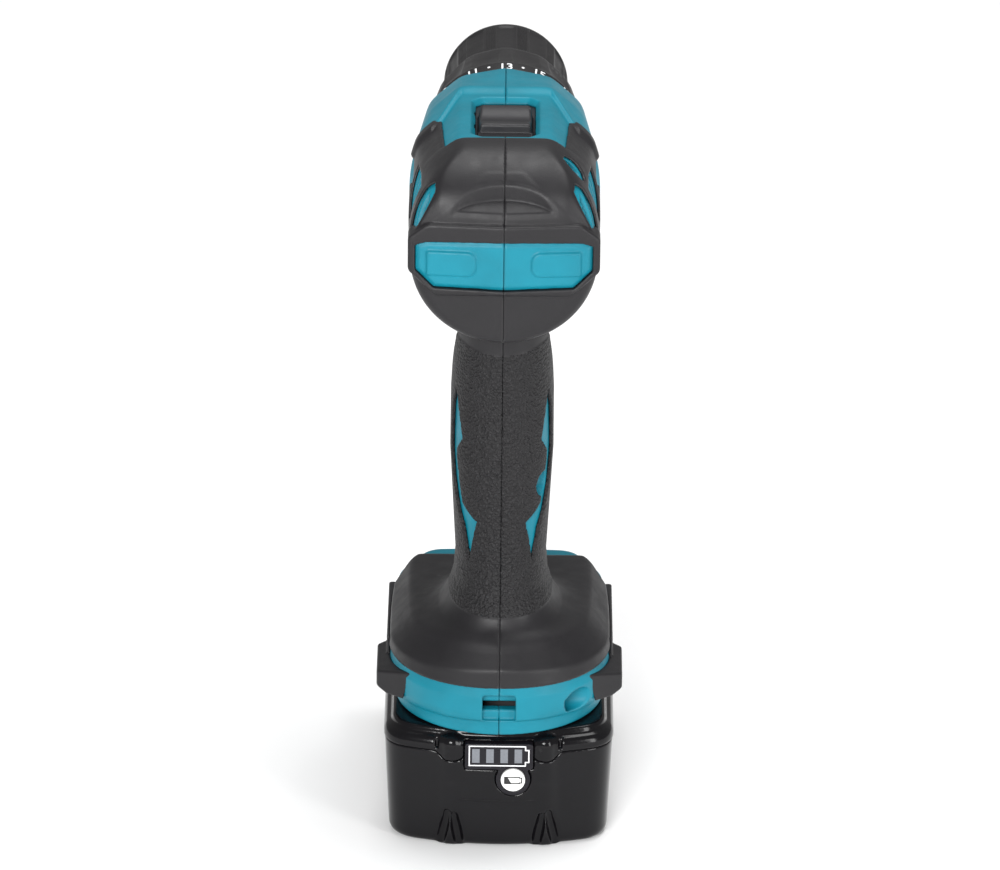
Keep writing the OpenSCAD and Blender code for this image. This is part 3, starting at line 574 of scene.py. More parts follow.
BATTERY_FRONT = 40
BATTERY_REAR = -70
BATTERY_BOW_R = 91.4
CASE_SPLIT = 34
LEDGE_Z = 39
CASE_HALF = 35.7
COLUMN_X = 15.2
TONGUE_X = 25
POCKET = ((-15.2, 33.5, 30.2), (15.2, 60, 60))
BUTTON_X = 4.8
BUTTON_Z = 25
BUTTON_FACE = -71.0
GAUGE_FACE = -70.55
# Corners of the gauge's panel as (x, z), the gap round it and the recess's depth
GAUGE_LOW, GAUGE_HIGH = (-11, 28.6), (11.3, 37.8)
GAUGE_GAP = 0.25
GAUGE_FLOOR = -67.5


def battery_plan(p, grow=0.0):
    """Plan of the case, with its drafted sides and bowed rear."""
    x, y, z = np.abs(p[0]), p[1], p[2]
    side = x - CASE_HALF - 1.7 * np.clip(z, 0, LEDGE_Z) / 36 - grow
    reach = np.sqrt(x * x + (y - BATTERY_REAR - BATTERY_BOW_R) ** 2)
    bow = reach - BATTERY_BOW_R + 0.7 - 0.018 * np.clip(z, 0, LEDGE_Z)
    front = y - BATTERY_FRONT + 0.3
    return smax(smax(side, bow - grow, 7.5), front - grow, 6)


def columns(p, swell):
    """Two round columns on the rear face, domed at the top and fading downwards."""
    x, z = np.abs(p[0]), p[2]
    foot_y = BATTERY_REAR + 3.6
    top = rod(np.stack([x, p[1], z]), (COLUMN_X, foot_y, 36.2), (COLUMN_X, foot_y + 1.0, 22), 3.5)
    low = rod(np.stack([x, p[1], z]), (COLUMN_X, foot_y + 1.0, 22), (COLUMN_X, foot_y + 1.9, 2), 3.9)
    return np.minimum(top, low) - swell


def case_split(p):
    """Height of the joint between the two cases, which dips under the columns."""
    x = np.abs(p[0])
    dip = 2.9 * np.exp(-((x - COLUMN_X) / 4.2) ** 4) * ramp((-60 - p[1]) / 4)
    return CASE_SPLIT - dip


def button_distance(p):
    """Distance from the axis of the gauge's round button."""
    return np.sqrt((p[0] - BUTTON_X) ** 2 + (p[2] - BUTTON_Z) ** 2)


def gauge_seat(p):
    """Recess for the gauge's panel, with a round lobe for its button."""
    low = (GAUGE_LOW[0] - GAUGE_GAP, -90, GAUGE_LOW[1] - GAUGE_GAP)
    high = (GAUGE_HIGH[0] + GAUGE_GAP, GAUGE_FLOOR, GAUGE_HIGH[1] + GAUGE_GAP)
    window = box(p, low, high, 0.4)
    lobe = np.maximum(button_distance(p) - 5.8, p[1] - GAUGE_FLOOR)
    return np.minimum(window, lobe)


def toe_grooves(p):
    """Leaning grooves at the foot of each column."""
    x = np.abs(p[0])
    q = np.stack([x, p[1], p[2]])
    outer = rod(q, (COLUMN_X + 1.5, BATTERY_REAR + 1.2, 12.0), (COLUMN_X + 3.8, BATTERY_REAR + 2.2, 1.0), 1.3)
    inner = rod(q, (COLUMN_X - 0.8, BATTERY_REAR + 1.1, 11.0), (COLUMN_X - 2.6, BATTERY_REAR + 1.4, 1.0), 1.3)
    swell = 0.45 * np.exp(-((p[2] - 5.5) / 4.5) ** 2)
    return np.minimum(outer, inner) - swell


def lower_case(p):
    """Lower battery case: drafted walls, two columns, side panels and toe grooves."""
    x, y, z = np.abs(p[0]), p[1], p[2]
    plan = battery_plan(p)
    d = smax(plan, -z, 3.4)
    d = smin(d, both(0.6, columns(p, 0), 0.8 - z), 2.2)
    # raised field between the columns, under the gauge
    field = both(0.5, x - 12.9, 17 - z, plan - 0.4)
    d = smin(d, np.maximum(field, y + 60), 0.4)
    # long panel pressed into each side
    panel = both(1.5, np.abs(z - 17) - 9.5, np.abs(y + 14) - 36)
    d = smax(d, -both(0.8, panel, 35.5 + 0.047 * z - x), 0.6)
    d = smax(d, z - case_split(p) + 0.08, 0.5)
    d = smax(d, -(both(1.0, plan + 2.2, 2.4 - z)), 0.4)
    d = smax(d, -box(p, *POCKET, 0.5), 0.4)
    d = smax(d, -gauge_seat(p), 0.35)
    return smax(d, -toe_grooves(p), 0.5)


def upper_case(p):
    """Upper battery case: rounded ledge, domes, plateau and the slotted tongue."""
    x, y, z = np.abs(p[0]), p[1], p[2]
    plan = battery_plan(p, 0.25)
    ledge = both(4.2, plan, z - LEDGE_Z)
    # a groove on each side sets the domes of the columns free of the ledge
    groove = both(0.5, np.abs(np.abs(x - COLUMN_X) - 4.9) - 0.55, 35 - z, -plan - 1.5, y + 60)
    ledge = smax(ledge, -groove, 0.7)
    ledge = smin(ledge, both(1.6, columns(p, 0.35), z - 40.0), 0.8)
    ledge = smax(ledge, case_split(p) + 0.08 - z, 0.5)
    plateau = both(1.6, battery_plan(p, -2.6), z - 41.1, 36 - z, np.sqrt(x * x + (y + 38) ** 2) - 60)
    d = smin(ledge, plateau, 1.0)
    tongue = box(p, (-TONGUE_X, -45, 36), (TONGUE_X, 34, 49), 0.9)
    rails = both(0.5, 22.6 - x, np.abs(z - 43.8) - 1.5, -40 - y)
    tongue = smax(tongue, -rails, 0.4)
    d = smin(d, tongue, 0.6)
    d = smax(d, -(both(1.0, battery_plan(p) + 2.2, z - 36.4)), 0.4)
    for blade in (-13, 0, 13):
        d = smax(d, -box(p, (blade - 1, -46.5, 42.4), (blade + 1, -31.5, 60), 0.3), 0.3)
        d = smax(d, -box(p, (blade - 2.5, -44.3, 42.6), (blade + 2.5, -32.6, 47.6), 0.3), 0.3)
    d = smax(d, -box(p, (-22.2, -30.2, 43), (22.2, 28.2, 45.7), 0.3), 0.3)
    d = smax(d, -box(p, *POCKET, 0.5), 0.4)
    return smax(d, -gauge_seat(p), 0.35)


def gauge_panel(p):
    """Panel of the gauge, with a ring round the button."""
    x, y, z = p[0], p[1], p[2]
    plate = both(1.2, GAUGE_LOW[0] - x, x - GAUGE_HIGH[0], GAUGE_LOW[1] - z, z - GAUGE_HIGH[1])
    plate = smin(plate, button_distance(p) - 5.6, 1.2)
    plate = smax(plate, 4.15 - button_distance(p), 0.25)
    return both(0.35, plate, GAUGE_FACE - y, y + 67.7)


def release_button(p):
    """Ribbed button at the battery's front, with the latch's tongue behind it."""
    x, y, z = np.abs(p[0]), p[1], p[2]
    face = y - 42.7 + 0.006 * x * x + 0.03 * (z - 41) ** 2
    d = both(1.6, x - 14.8, face, 34.1 - y, 35.1 - z, z - 47.4)
    ribs = np.abs(((z - 36) % 2.2) - 1.1) - 0.45
    d = smax(d, -both(0.4, ribs, x - 9.5, 41.4 - y, np.abs(z - 40.8) - 4.4), 0.5)
    return smin(d, box(p, (-9, 34.3, 46), (9, 37.2, 51.3), 0.6), 0.6)


# ---------------------------------------------------------------- controls

def speed_knob(p):
    """Dished knob of the speed selector on its sliding plate."""
    x, y, z = np.abs(p[0]), p[1], p[2] - AXIS_Z
    plate = box(p, (-9.8, -47, AXIS_Z + 23.6), (9.8, -4.6, AXIS_Z + 25.6), 0.3)
    crown = 29.9 - 0.35 * np.clip(y + 21, 0, 9) - 2.1 * np.exp(-((y + 28.6) / 5.2) ** 2)
    taper = 0.22 * np.clip(z - 25, 0, 9)
    block = both(0.9, x - 9.0 + taper, y + 18.6 + taper, -38.4 - y + taper * 0.6, z - crown)
    block = smax(block, (x - 9.0 + y + 18.6) * 0.7071 + 2.0, 0.6)
    # raised floor that follows the knob under the window's rear edge
    floor = box(p, (-8.8, -46, AXIS_Z + 24), (8.8, -36, AXIS_Z + 26.9), 0.3)
    block = np.minimum(block, floor)
    block = np.maximum(block, 24.5 - z)
    return smin(plate, block, 0.5)


def trigger(p):
    """Trigger with a hollow for the finger, and the rod that joins it to the switch."""
    x, y, z = np.abs(p[0]), p[1], p[2]
    hollow = 21 - np.sqrt((y - 22.6) ** 2 + (z - 161) ** 2)
    front = y - 3 + 0.045 * x * x
    d = both(1.8, x - 8.6, front, hollow, 150.2 - z, z - 176.8)
    d = np.maximum(d, -14 - y)
    d = smax(d, -box(p, (-6.8, -20, 152.2), (6.8, -5.2, 174.8), 0.6), 0.4)
    return np.minimum(d, rod(p, (0, -29.5, 164), (0, -5, 164), 2.5))


LEVER_BAR_Y = -8.5
LEVER_PIVOT_Y = -26


def direction_lever(p):
    """Reversing lever: a bar with two thumb grooves, its arm and its pivot."""
    x, y, z = np.abs(p[0]), p[1], p[2]
    from_bar = np.abs(y - LEVER_BAR_Y)
    from_pivot = np.sqrt(p[0] ** 2 + (y - LEVER_PIVOT_Y) ** 2)
    bar = both(1.3, x - 18.5, from_bar - 3.4, z - 184.9, 179.7 - z)
    grip_line = np.abs(from_bar - 1.2) - 0.35
    bar = smax(bar, -both(0.3, grip_line, 17.6 - x, np.abs(z - 182.3) - 1.7), 0.4)
    arm = box(p, (-3, LEVER_PIVOT_Y, 179.6), (3, -8, 183.4), 0.5)
    pivot = both(0.5, from_pivot - 5, z - 183.5, 179.5 - z)
    d = smin(smin(bar, arm, 1.0), pivot, 0.6)
    return smax(d, 1.65 - from_pivot, 0.3)


def work_light(p):
    """Lens of the work light with two round wells behind it."""
    x, y, z = np.abs(p[0]), p[1], p[2]
    face = y - 11.5 + 0.03 * x * x
    d = both(0.8, x - 8.35, face, 5.5 - y, 180.7 - z, z - 184.9)
    wells = np.sqrt((x - 4.2) ** 2 + (z - 182.8) ** 2) - 1.5
    return smax(d, -both(0.3, wells, 8 - y), 0.3)


RING_Y = (21, 49.5)
# Numbered band of the torque ring: rear radius, how much it flares, and where it ends
BAND_R = 26.0
BAND_FLARE = 0.8
BAND_END = 25.4
SCALLOPS = 12
# Sleeve: smooth hollows, and where each hollow's turn gives way to ribs
HOLLOWS = 12
RIB_START = 0.345
RIB_PITCH = 0.062
RIB_DEPTH = 0.34


def ring_shape(angle, y, r):
    """Broad scallops round the torque ring, leaving the numbered band plain."""
    turn = (angle * SCALLOPS / (2 * math.pi)) % 1 - 0.5
    dip = np.clip(1 - (turn / 0.36) ** 2, 0, 1) ** 0.6
    reach = ramp((y - 27.0) / 3.0) * ramp((r - 21.8) / 0.6) * (1 - 0.75 * ramp((y - 36) / 13))
    return r - 1.2 * dip * reach


def sleeve_shape(angle, y, r):
    """Twelve smooth hollows between bands of fine ribs."""
    turn = (angle * HOLLOWS / (2 * math.pi) + 0.5) % 1 - 0.5
    outer = ramp((r - 18.6) / 0.5)
    along = ramp((y - 54.6) / 1.6) * ramp((76.4 - y) / 1.6)
    hollow = np.clip(1 - (turn / 0.30) ** 4, 0, 1) * 0.6
    past = np.abs(turn) - RIB_START
    rib = np.where(past > 0, RIB_DEPTH * (0.5 - 0.5 * np.cos(past / RIB_PITCH * 2 * math.pi)), 0)
    return r - (hollow * along + rib * ramp((y - 55.4) / 0.8) * ramp((75.4 - y) / 0.8)) * outer


# ---------------------------------------------------------------- materials

class Nodes:
    """A material's node tree around its Principled shader."""

    def __init__(self, name):
        self.material = bpy.data.materials.new(name)
        self.material.use_nodes = True
        self.tree = self.material.node_tree
        self.shader = self.tree.nodes["Principled BSDF"]
        self.place = self.tree.nodes.new("ShaderNodeTexCoord").outputs["Object"]

    def add(self, kind, inputs=None, **settings):
        node = self.tree.nodes.new(kind)
        for key, value in settings.items():
            setattr(node, key, value)
        for key, value in (inputs or {}).items():
            self.put(value, node.inputs[key])
        return node

    def put(self, value, socket):
        if isinstance(value, bpy.types.NodeSocket):
            self.tree.links.new(value, socket)
        else:
            socket.default_value = value

    def noise(self, size, detail=3.0, rough=0.6, place=None):
        """Noise whose features are about size millimetres across."""
        node = self.add("ShaderNodeTexNoise", {"Vector": place or self.place, "Scale": 1000 / size,
                                               "Detail": detail, "Roughness": rough})
        return node.outputs["Fac"]

    def spread(self, value, low, high, out_low, out_high):
        node = self.add("ShaderNodeMapRange", {"Value": value, "From Min": low, "From Max": high,
                                               "To Min": out_low, "To Max": out_high})
        return node.outputs["Result"]

    def mix(self, factor, a, b):
        node = self.add("ShaderNodeMix", data_type="RGBA")
        self.put(factor, node.inputs[0])
        self.put(a, node.inputs[6])
        self.put(b, node.inputs[7])
        return node.outputs[2]

    def bump(self, height, depth, strength=1.0, normal=None):
        """Bump of a height map that stands depth millimetres proud."""
        inputs = {"Height": height, "Distance": depth * MM, "Strength": strength}
        if normal is not None:
            inputs["Normal"] = normal
        return self.add("ShaderNodeBump", inputs).outputs["Normal"]

    def set(self, **values):
        for key, value in values.items():
            self.put(value, self.shader.inputs[key.replace("_", " ")])
        return self.material


def tone(colour, factor):
    return tuple(min(1, c * factor) for c in colour) + (1.0,)


def worn(n, colour, scuff_and_highlight, spots):
    """Colour with slow mottling, and lighter edges that are partly scuffs and partly a painted highlight."""
    slow = n.spread(n.noise(14, 2), 0.35, 0.65, 0, 1)
    base = n.mix(slow, tone(colour, 0.93), tone(colour, 1.07))
    fine = n.spread(n.noise(0.5, 2), 0.4, 0.6, 0, 1)
    base = n.mix(fine, base, n.mix(spots, base, tone(colour, 1.0 + 3 * spots)))
    # lighter convex edges, found from pointiness: partly scuff wear, partly painted highlight
    edge = n.add("ShaderNodeNewGeometry").outputs["Pointiness"]
    edge_scuff_and_highlight = n.spread(edge, 0.53, 0.62, 0, scuff_and_highlight)
    return n.mix(edge_scuff_and_highlight, base, tone([c * 0.6 + 0.25 for c in colour], 1.0))


def moulded(name, colour, rough, grain, depth, scuff_and_highlight=0.15, spots=0.05, specular=0.5):
    """Spark-eroded or polished moulded plastic."""
    n = Nodes(name)
    height = n.noise(grain, 4)
    normal = n.bump(height, depth)
    ripple = n.bump(n.noise(9, 1), 0.02, 0.6, normal)
    shine = n.spread(n.noise(6, 3), 0.3, 0.7, rough * 0.88, rough * 1.12)
    n.set(Specular_IOR_Level=specular)
    return n.set(Base_Color=worn(n, colour, scuff_and_highlight, spots), Roughness=shine, Normal=ripple)


def grained(name, colour, rough):
    """Leather grain of the soft grip: small irregular pebbles with creases between them."""
    n = Nodes(name)
    warp = n.add("ShaderNodeTexNoise", {"Vector": n.place, "Scale": 900.0, "Detail": 2.0}).outputs["Color"]
    place = n.add("ShaderNodeMix", data_type="VECTOR")
    n.put(0.0010, place.inputs[0])
    n.put(n.place, place.inputs[4])
    n.put(warp, place.inputs[5])
    cells = n.add("ShaderNodeTexVoronoi", {"Vector": place.outputs[1], "Scale": 1150.0, "Smoothness": 0.7},
                  feature="SMOOTH_F1")
    pebble = n.spread(cells.outputs["Distance"], 0.1, 0.75, 1, 0)
    mixed = n.add("ShaderNodeMath", {0: pebble, 1: n.noise(1.6, 3)}, operation="MULTIPLY").outputs[0]
    normal = n.bump(mixed, 0.75)
    normal = n.bump(n.noise(0.22, 2), 0.03, 1.0, normal)
    # darker creases and lighter pebble tops: painted shade in the creases and a painted highlight on the
    # pebbles
    shade = n.mix(n.spread(mixed, 0.15, 0.6, 0, 1), tone(colour, 0.55), tone(colour, 1.2))
    shine = n.spread(mixed, 0.1, 0.6, rough * 1.15, rough * 0.9)
    n.set(Specular_IOR_Level=0.34)
    return n.set(Base_Color=shade, Roughness=shine, Normal=normal)


def metal(name, colour, rough, brushed=0.0, axis=1):
    """Machined or drawn metal, with tool marks round the spindle direction."""
    n = Nodes(name)
    stretch = [1.0, 1.0, 1.0]
    stretch[axis] = 14.0
    place = n.add("ShaderNodeMapping", {"Vector": n.place, "Scale": tuple(stretch)}).outputs["Vector"]
    marks = n.noise(2.2, 3, 0.5, place)
    normal = n.bump(marks, 0.012 + 0.03 * brushed)
    shine = n.spread(n.noise(3.5, 4), 0.3, 0.7, rough * 0.75, rough * 1.3)
    shade = n.mix(n.spread(n.noise(7, 3), 0.35, 0.65, 0, 1), tone(colour, 0.86), tone(colour, 1.04))
    return n.set(Base_Color=shade, Roughness=shine, Normal=normal, Metallic=1.0)


def painted(name, colour, rough):
    """Printed marks, slightly scuffed."""
    n = Nodes(name)
    shade = n.mix(n.spread(n.noise(0.7, 4), 0.45, 0.7, 0, 1), tone(colour, 1.0), tone(colour, 0.86))
    return n.set(Base_Color=shade, Roughness=rough, Normal=n.bump(n.noise(0.3, 2), 0.01))


def clear_lens(name):
    """Clear plastic with faint flow marks."""
    n = Nodes(name)
    n.set(Transmission_Weight=0.75, IOR=1.49)
    shade = n.mix(n.noise(4, 2), (0.86, 0.90, 0.92, 1), (0.95, 0.97, 0.98, 1))
    return n.set(Base_Color=shade, Roughness=n.spread(n.noise(1.2), 0.3, 0.7, 0.05, 0.14),
                 Normal=n.bump(n.noise(2.5, 1), 0.02))


TEAL = (0.0026, 0.178, 0.245)
RUBBER_COLOUR = (0.0100, 0.0093, 0.0108)
RING_COLOUR = (0.0110, 0.0103, 0.0112)
CASE_COLOUR = (0.0040, 0.0037, 0.0046)

MATERIALS = {
    "shell_plastic": moulded("teal_shell", TEAL, 0.46, 0.55, 0.045, 0.10, 0.05, 0.28),
    "soft_rubber": moulded("soft_rubber", RUBBER_COLOUR, 0.47, 0.42, 0.035, 0.10, 0.06, 0.34),
    "ring_rubber": moulded("ring_plastic", RING_COLOUR, 0.46, 0.45, 0.040, 0.16, 0.06, 0.34),
    "dark_plastic": moulded("dark_plastic", (0.015, 0.0145, 0.017), 0.42, 0.5, 0.030, 0.18, 0.05, 0.36),
    "battery_plastic": moulded("battery_plastic", CASE_COLOUR, 0.15, 0.9, 0.004, 0.03, 0.02, 0.24),
    "gauge_film": moulded("gauge_film", (0.010, 0.009, 0.012), 0.30, 0.6, 0.010, 0.03, 0.02, 0.24),
    "white_rubber": moulded("white_rubber", (0.80, 0.80, 0.79), 0.45, 0.6, 0.015, 0.0, 0.0),
    "lens": clear_lens("light_lens"),
    "bright_steel": metal("bright_steel", (0.62, 0.62, 0.63), 0.26),
    "gear_steel": metal("gear_steel", (0.42, 0.42, 0.43), 0.38, 0.5),
    "black_steel": metal("black_steel", (0.13, 0.13, 0.135), 0.36, 0.6),
    "lamination_steel": metal("lamination_steel", (0.30, 0.30, 0.32), 0.45, 1.0),
    "case_metal": metal("case_metal", (0.36, 0.36, 0.37), 0.48, 0.4),
    "brass": metal("brass_metal", (0.62, 0.46, 0.20), 0.30, 0.3),
    "copper": metal("copper_metal", (0.70, 0.32, 0.17), 0.32, 0.6),
    "circuit_board": moulded("circuit_board", (0.012, 0.085, 0.040), 0.36, 0.8, 0.02, 0.1, 0.1),
    "cell_wrap": moulded("cell_wrap", (0.05, 0.16, 0.30), 0.30, 2.0, 0.01, 0.05, 0.02),
}
GRAIN = grained("grip_grain", RUBBER_COLOUR, 0.50)
PRINT = painted("white_print", (0.86, 0.87, 0.88), 0.5)
GREY_PRINT = painted("grey_print", (0.17, 0.18, 0.20), 0.45)
BLACK_PRINT = painted("black_print", (0.02, 0.02, 0.02), 0.45)

for entry in frame["record"]["subparts"]:
    node = frame["nodes"][entry["node"]]
    node.data.materials.clear()
    node.data.materials.append(MATERIALS[entry["material_slot"]])


# ---------------------------------------------------------------- pieces

def dress(piece, slot, body, *nodes, material=None):
    """Gives a piece its finish, ties it to the body, and hides the nodes that it stands for."""
    piece.data.materials.clear()
    piece.data.materials.append(material or MATERIALS[slot])
    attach(piece, body)
    if nodes:
        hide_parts(*nodes)
    return piece


def carve(name, field, slot, body, *nodes, step=0.5, low=None, high=None, margin=2.5, material=None):
    """Sculpts a field inside its node's box and dresses it."""
    if low is None:
        low, high = node_box(nodes[0])
    low, high = np.array(low, float) - margin, np.array(high, float) + margin
    return dress(sculpt(name, field, low, high, step), slot, body, *nodes, material=material)


def second_material(piece, material, inside):
    """Gives the faces whose middle is inside a field a second material."""
    piece.data.materials.append(material)
    mesh = piece.data
    centre = np.empty(len(mesh.polygons) * 3, np.float32)
    mesh.polygons.foreach_get("center", centre)
    chosen = inside(centre.reshape(-1, 3).T.astype(float) / MM) < 0
    mesh.polygons.foreach_set("material_index", chosen.astype(np.int32))


SHELL_STEP = 0.55
for side, word in ((-1, "left"), (1, "right")):
    carve("shell_" + word, lambda p: housing(p, side), "shell_plastic", "housing", "housing_" + word,
          step=SHELL_STEP)
    skin = carve("cover_skin_" + word, lambda p: cover(p, side), "soft_rubber", "housing", "cover_" + word,
                 step=SHELL_STEP)
    second_material(skin, GRAIN, lambda p: np.maximum(grip_texture(p), -(body(p) - 0.4)))
    wing_low, wing_high = sorted((side * 27, side * 41))
    carve("wing_" + word, lambda p: side_bumper(p, side), "soft_rubber", "housing", "bumper_" + word,
          step=0.4, low=(wing_low, -62, 46), high=(wing_high, 9, 62))

carve("battery_base", lower_case, "battery_plastic", "battery", "battery_lower_case", step=0.6)
carve("battery_top", upper_case, "battery_plastic", "battery", "battery_upper_case", step=0.5)
carve("gauge_plate", gauge_panel, "gauge_film", "battery", "gauge_panel", step=0.25, margin=1.0)
carve("latch_button", release_button, "dark_plastic", "battery_latch", "release_button", step=0.3, margin=1.0)
carve("selector_knob", speed_knob, "dark_plastic", "speed_shift", "speed_knob", step=0.3, margin=1.0)
carve("trigger_lever", trigger, "dark_plastic", "trigger_body", "trigger", step=0.3, margin=1.0)
carve("reverse_lever", direction_lever, "dark_plastic", "lever_body", "direction_lever", step=0.3, margin=1.0)
carve("lamp_lens", work_light, "lens", "housing", "work_light", step=0.25, margin=1.0)

ring_profile = rounded([
    (RING_Y[0], 23.6), (RING_Y[0], BAND_R), (BAND_END, BAND_R + BAND_FLARE), (28, 26.2), (46, 23.9),
    (RING_Y[1], 22.9), (RING_Y[1], 16), (46.8, 16), (46.8, 21), (28, 21), (26.4, 23.6)
], 0.5)
ring = turned("clutch_ring", dense(ring_profile, 0.7), 432, ring_shape)
dress(ring, "ring_rubber", "torque_dial", "torque_ring")

sleeve_profile = rounded([
    (51.6, 17.5), (51.6, 19.3), (53.4, 20.4), (76.4, 20.6), (79.2, 19.9), (80.2, 18.6), (80.2, 17.5)
], 0.5)
sleeve = turned("grip_sleeve", dense(sleeve_profile, 0.6), 1080, sleeve_shape)
dress(sleeve, "ring_rubber", "sleeve", "chuck_sleeve")


# ---------------------------------------------------------------- printed marks

STEP_ANGLE = math.radians(12.2)
TOP_NUMBER = 13
DIGIT_HEIGHT = 3.3
PRINT_LIFT = 0.07


def flat_text(text, height):
    """Points, in millimetres, and faces of a line of text that is centred across and stands on zero."""
    curve = bpy.data.curves.new("digits", "FONT")
    curve.body = text
    curve.align_x = "CENTER"
    curve.size = height / 0.69
    curve.offset = 0.02 * height
    holder = bpy.data.objects.new("digits", curve)
    mesh = bpy.data.meshes.new_from_object(holder)
    points = [tuple(v.co)[:2] for v in mesh.vertices]
    faces = [tuple(f.vertices) for f in mesh.polygons]
    bpy.data.objects.remove(holder)
    bpy.data.curves.remove(curve)
    bpy.data.meshes.remove(mesh)
    return points, faces


def disc(radius, height, count=20):
    """Points and one face of a round dot centred at a height."""
    turn = [2 * math.pi * i / count for i in range(count)]
    return [(radius * math.cos(t), height + radius * math.sin(t)) for t in turn], [tuple(range(count))]


def build(name, points, faces):
    """Flat-shaded mesh object from points in millimetres."""
    mesh = bpy.data.meshes.new(name)
    mesh.from_pydata([tuple(c * MM for c in q) for q in points], [], faces)
    mesh.update()
    piece = bpy.data.objects.new(name, mesh)
    bpy.context.scene.collection.objects.link(piece)
    return piece


def ring_numbers():
    """Odd numbers round the torque ring, with dots between them."""
    points, faces = [], []
    for number in range(1, 22):
        if number % 2:
            marks, polygons = flat_text(str(number), DIGIT_HEIGHT)
        else:
            marks, polygons = disc(0.5, DIGIT_HEIGHT * 0.55)
        start = (number - TOP_NUMBER) * STEP_ANGLE
        faces += [tuple(i + len(points) for i in f) for f in polygons]
        for u, v in marks:
            y = RING_Y[0] + 0.35 + v
            r = BAND_R + BAND_FLARE * (y - RING_Y[0]) / (BAND_END - RING_Y[0]) + PRINT_LIFT
            angle = start + u / r
            points.append((r * math.sin(angle), y, AXIS_Z + r * math.cos(angle)))
    piece = build("ring_numbers", points, faces)
    return dress(piece, "white_rubber", "torque_dial", material=PRINT)


def bars(name, rectangles, rear, front):
    """Upright slabs given as (low x, low z, high x, high z), between two values of y."""
    points, faces = [], []
    for x0, z0, x1, z1 in rectangles:
        n = len(points)
        points += [(x, y, z) for y in (rear, front) for x, z in ((x0, z0), (x1, z0), (x1, z1), (x0, z1))]
        faces += [tuple(n + i for i in f) for f in
                  ((0, 1, 2, 3), (7, 6, 5, 4), (0, 4, 5, 1), (1, 5, 6, 2), (2, 6, 7, 3), (3, 7, 4, 0))]
    return build(name, points, faces)


def battery_symbol(x0, z0, x1, z1, line, nub):
    """Bars that draw a battery lying on its side, with its pole on the right."""
    mid, half = (z0 + z1) / 2, (z1 - z0) * 0.27
    return [
        (x0, z0, x1, z0 + line), (x0, z1 - line, x1, z1), (x0, z0 + line, x0 + line, z1 - line),
        (x1 - line, z0 + line, x1, mid - half), (x1 - line, mid + half, x1, z1 - line),
        (x1, mid - half - line, x1 + nub, mid - half), (x1, mid + half, x1 + nub, mid + half + line),
        (x1 + nub - line, mid - half, x1 + nub, mid + half),
    ]


def gauge_marks():
    """Outline of a battery and its four charge segments."""
    face = GAUGE_FACE - 0.05
    x0, z0, x1, z1 = GAUGE_LOW[0] + 1.3, GAUGE_LOW[1] + 1.3, GAUGE_HIGH[0] - 2.3, GAUGE_HIGH[1] - 0.6
    frame_bars = bars("gauge_outline", battery_symbol(x0, z0, x1, z1, 0.38, 1.1), face, GAUGE_FACE + 0.3)
    dress(frame_bars, "white_rubber", "battery", material=PRINT)
    pitch = (x1 - x0) / 4.05
    cells = []
    for i in range(4):
        left = x0 + 1.1 + pitch * i
        cells.append((left, z0 + 1.2, left + pitch * 0.53, z1 - 1.2))
    dress(bars("gauge_segments", cells, face, GAUGE_FACE + 0.3), "gauge_film", "battery", material=GREY_PRINT)


def gauge_key(p):
    """Round button that lights the gauge."""
    return both(0.45, button_distance(p) - 4.0, BUTTON_FACE - p[1], p[1] + 67.3)


def key_symbol():
    """Small battery symbol on the button, partly filled along a slant."""
    x0, z0 = BUTTON_X - 2.9, BUTTON_Z - 1.25
    symbol = battery_symbol(x0, z0, x0 + 5.2, z0 + 2.6, 0.36, 0.7)
    symbol += [(x0 + 0.2, z0 + 0.2, x0 + 1.0, z0 + 2.4)]
    symbol += [(x0 + 1.0, z0 + 0.2 + 0.3 * i, x0 + 2.3 - 0.17 * i, z0 + 0.5 + 0.3 * i) for i in range(7)]
    dress(bars("key_symbol", symbol, BUTTON_FACE - 0.06, BUTTON_FACE + 0.3), "dark_plastic", "gauge_switch",
          material=BLACK_PRINT)


ring_numbers()
gauge_marks()
carve("gauge_key", gauge_key, "white_rubber", "gauge_switch", "gauge_button", step=0.2, margin=2.0)
key_symbol()


# ---------------------------------------------------------------- camera, floor and light

CAMERA_PLACE = Vector((0, -2.76183, 1.30502))
CAMERA_PITCH = 0.406174
CAMERA_ROLL = math.radians(0.63)
SENSOR = 36
FOCAL_WIDTHS = 9.12466
SHIFT = -0.002


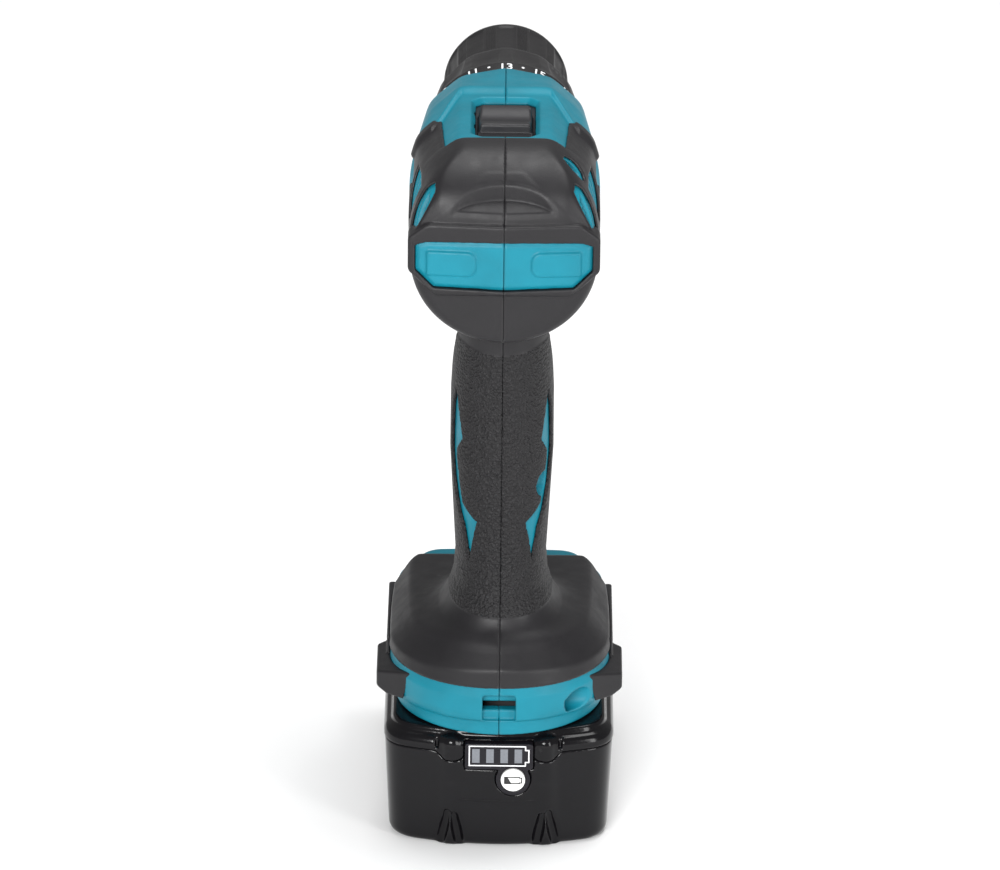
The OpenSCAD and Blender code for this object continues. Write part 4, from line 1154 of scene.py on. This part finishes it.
def make_camera():
    data = bpy.data.cameras.new("camera")
    data.sensor_width = SENSOR
    data.lens = SENSOR * FOCAL_WIDTHS
    data.shift_x = SHIFT
    data.clip_end = 50
    camera = bpy.data.objects.new("camera", data)
    turn = Matrix.Rotation(math.pi / 2 - CAMERA_PITCH, 4, "X") @ Matrix.Rotation(CAMERA_ROLL, 4, "Z")
    camera.matrix_world = Matrix.Translation(CAMERA_PLACE) @ turn
    bpy.context.scene.collection.objects.link(camera)
    bpy.context.scene.camera = camera


def area_light(name, place, target, size, power, colour=(1, 1, 1)):
    data = bpy.data.lights.new(name, "AREA")
    data.shape = "RECTANGLE"
    data.size, data.size_y = size
    data.energy = power
    data.color = colour
    light = bpy.data.objects.new(name, data)
    light.location = place
    light.rotation_euler = (Vector(target) - Vector(place)).to_track_quat("-Z", "Y").to_euler()
    bpy.context.scene.collection.objects.link(light)


def make_floor():
    mesh = bmesh.new()
    bmesh.ops.create_grid(mesh, x_segments=8, y_segments=8, size=6.0)
    data = bpy.data.meshes.new("floor")
    mesh.to_mesh(data)
    mesh.free()
    floor = bpy.data.objects.new("floor", data)
    bpy.context.scene.collection.objects.link(floor)
    n = Nodes("pale_floor")
    shade = n.mix(n.noise(300, 2), (0.90, 0.90, 0.90, 1), (0.94, 0.94, 0.94, 1))
    data.materials.append(n.set(Base_Color=shade, Roughness=0.8))


def make_world():
    world = bpy.data.worlds.new("studio")
    world.use_nodes = True
    world.node_tree.nodes["Background"].inputs["Color"].default_value = (1, 1, 1, 1)
    world.node_tree.nodes["Background"].inputs["Strength"].default_value = 0.36
    bpy.context.scene.world = world


make_camera()
make_floor()
make_world()
MIDDLE = (0, -0.02, 0.13)
area_light("key", (-0.5, -2.0, 1.0), MIDDLE, (0.9, 0.6), 44)
area_light("fill", (1.3, -1.3, 0.5), MIDDLE, (0.5, 1.0), 15)
area_light("top", (0.2, 0.3, 1.8), MIDDLE, (1.2, 0.9), 24)
bpy.context.scene.view_settings.view_transform = "Standard"
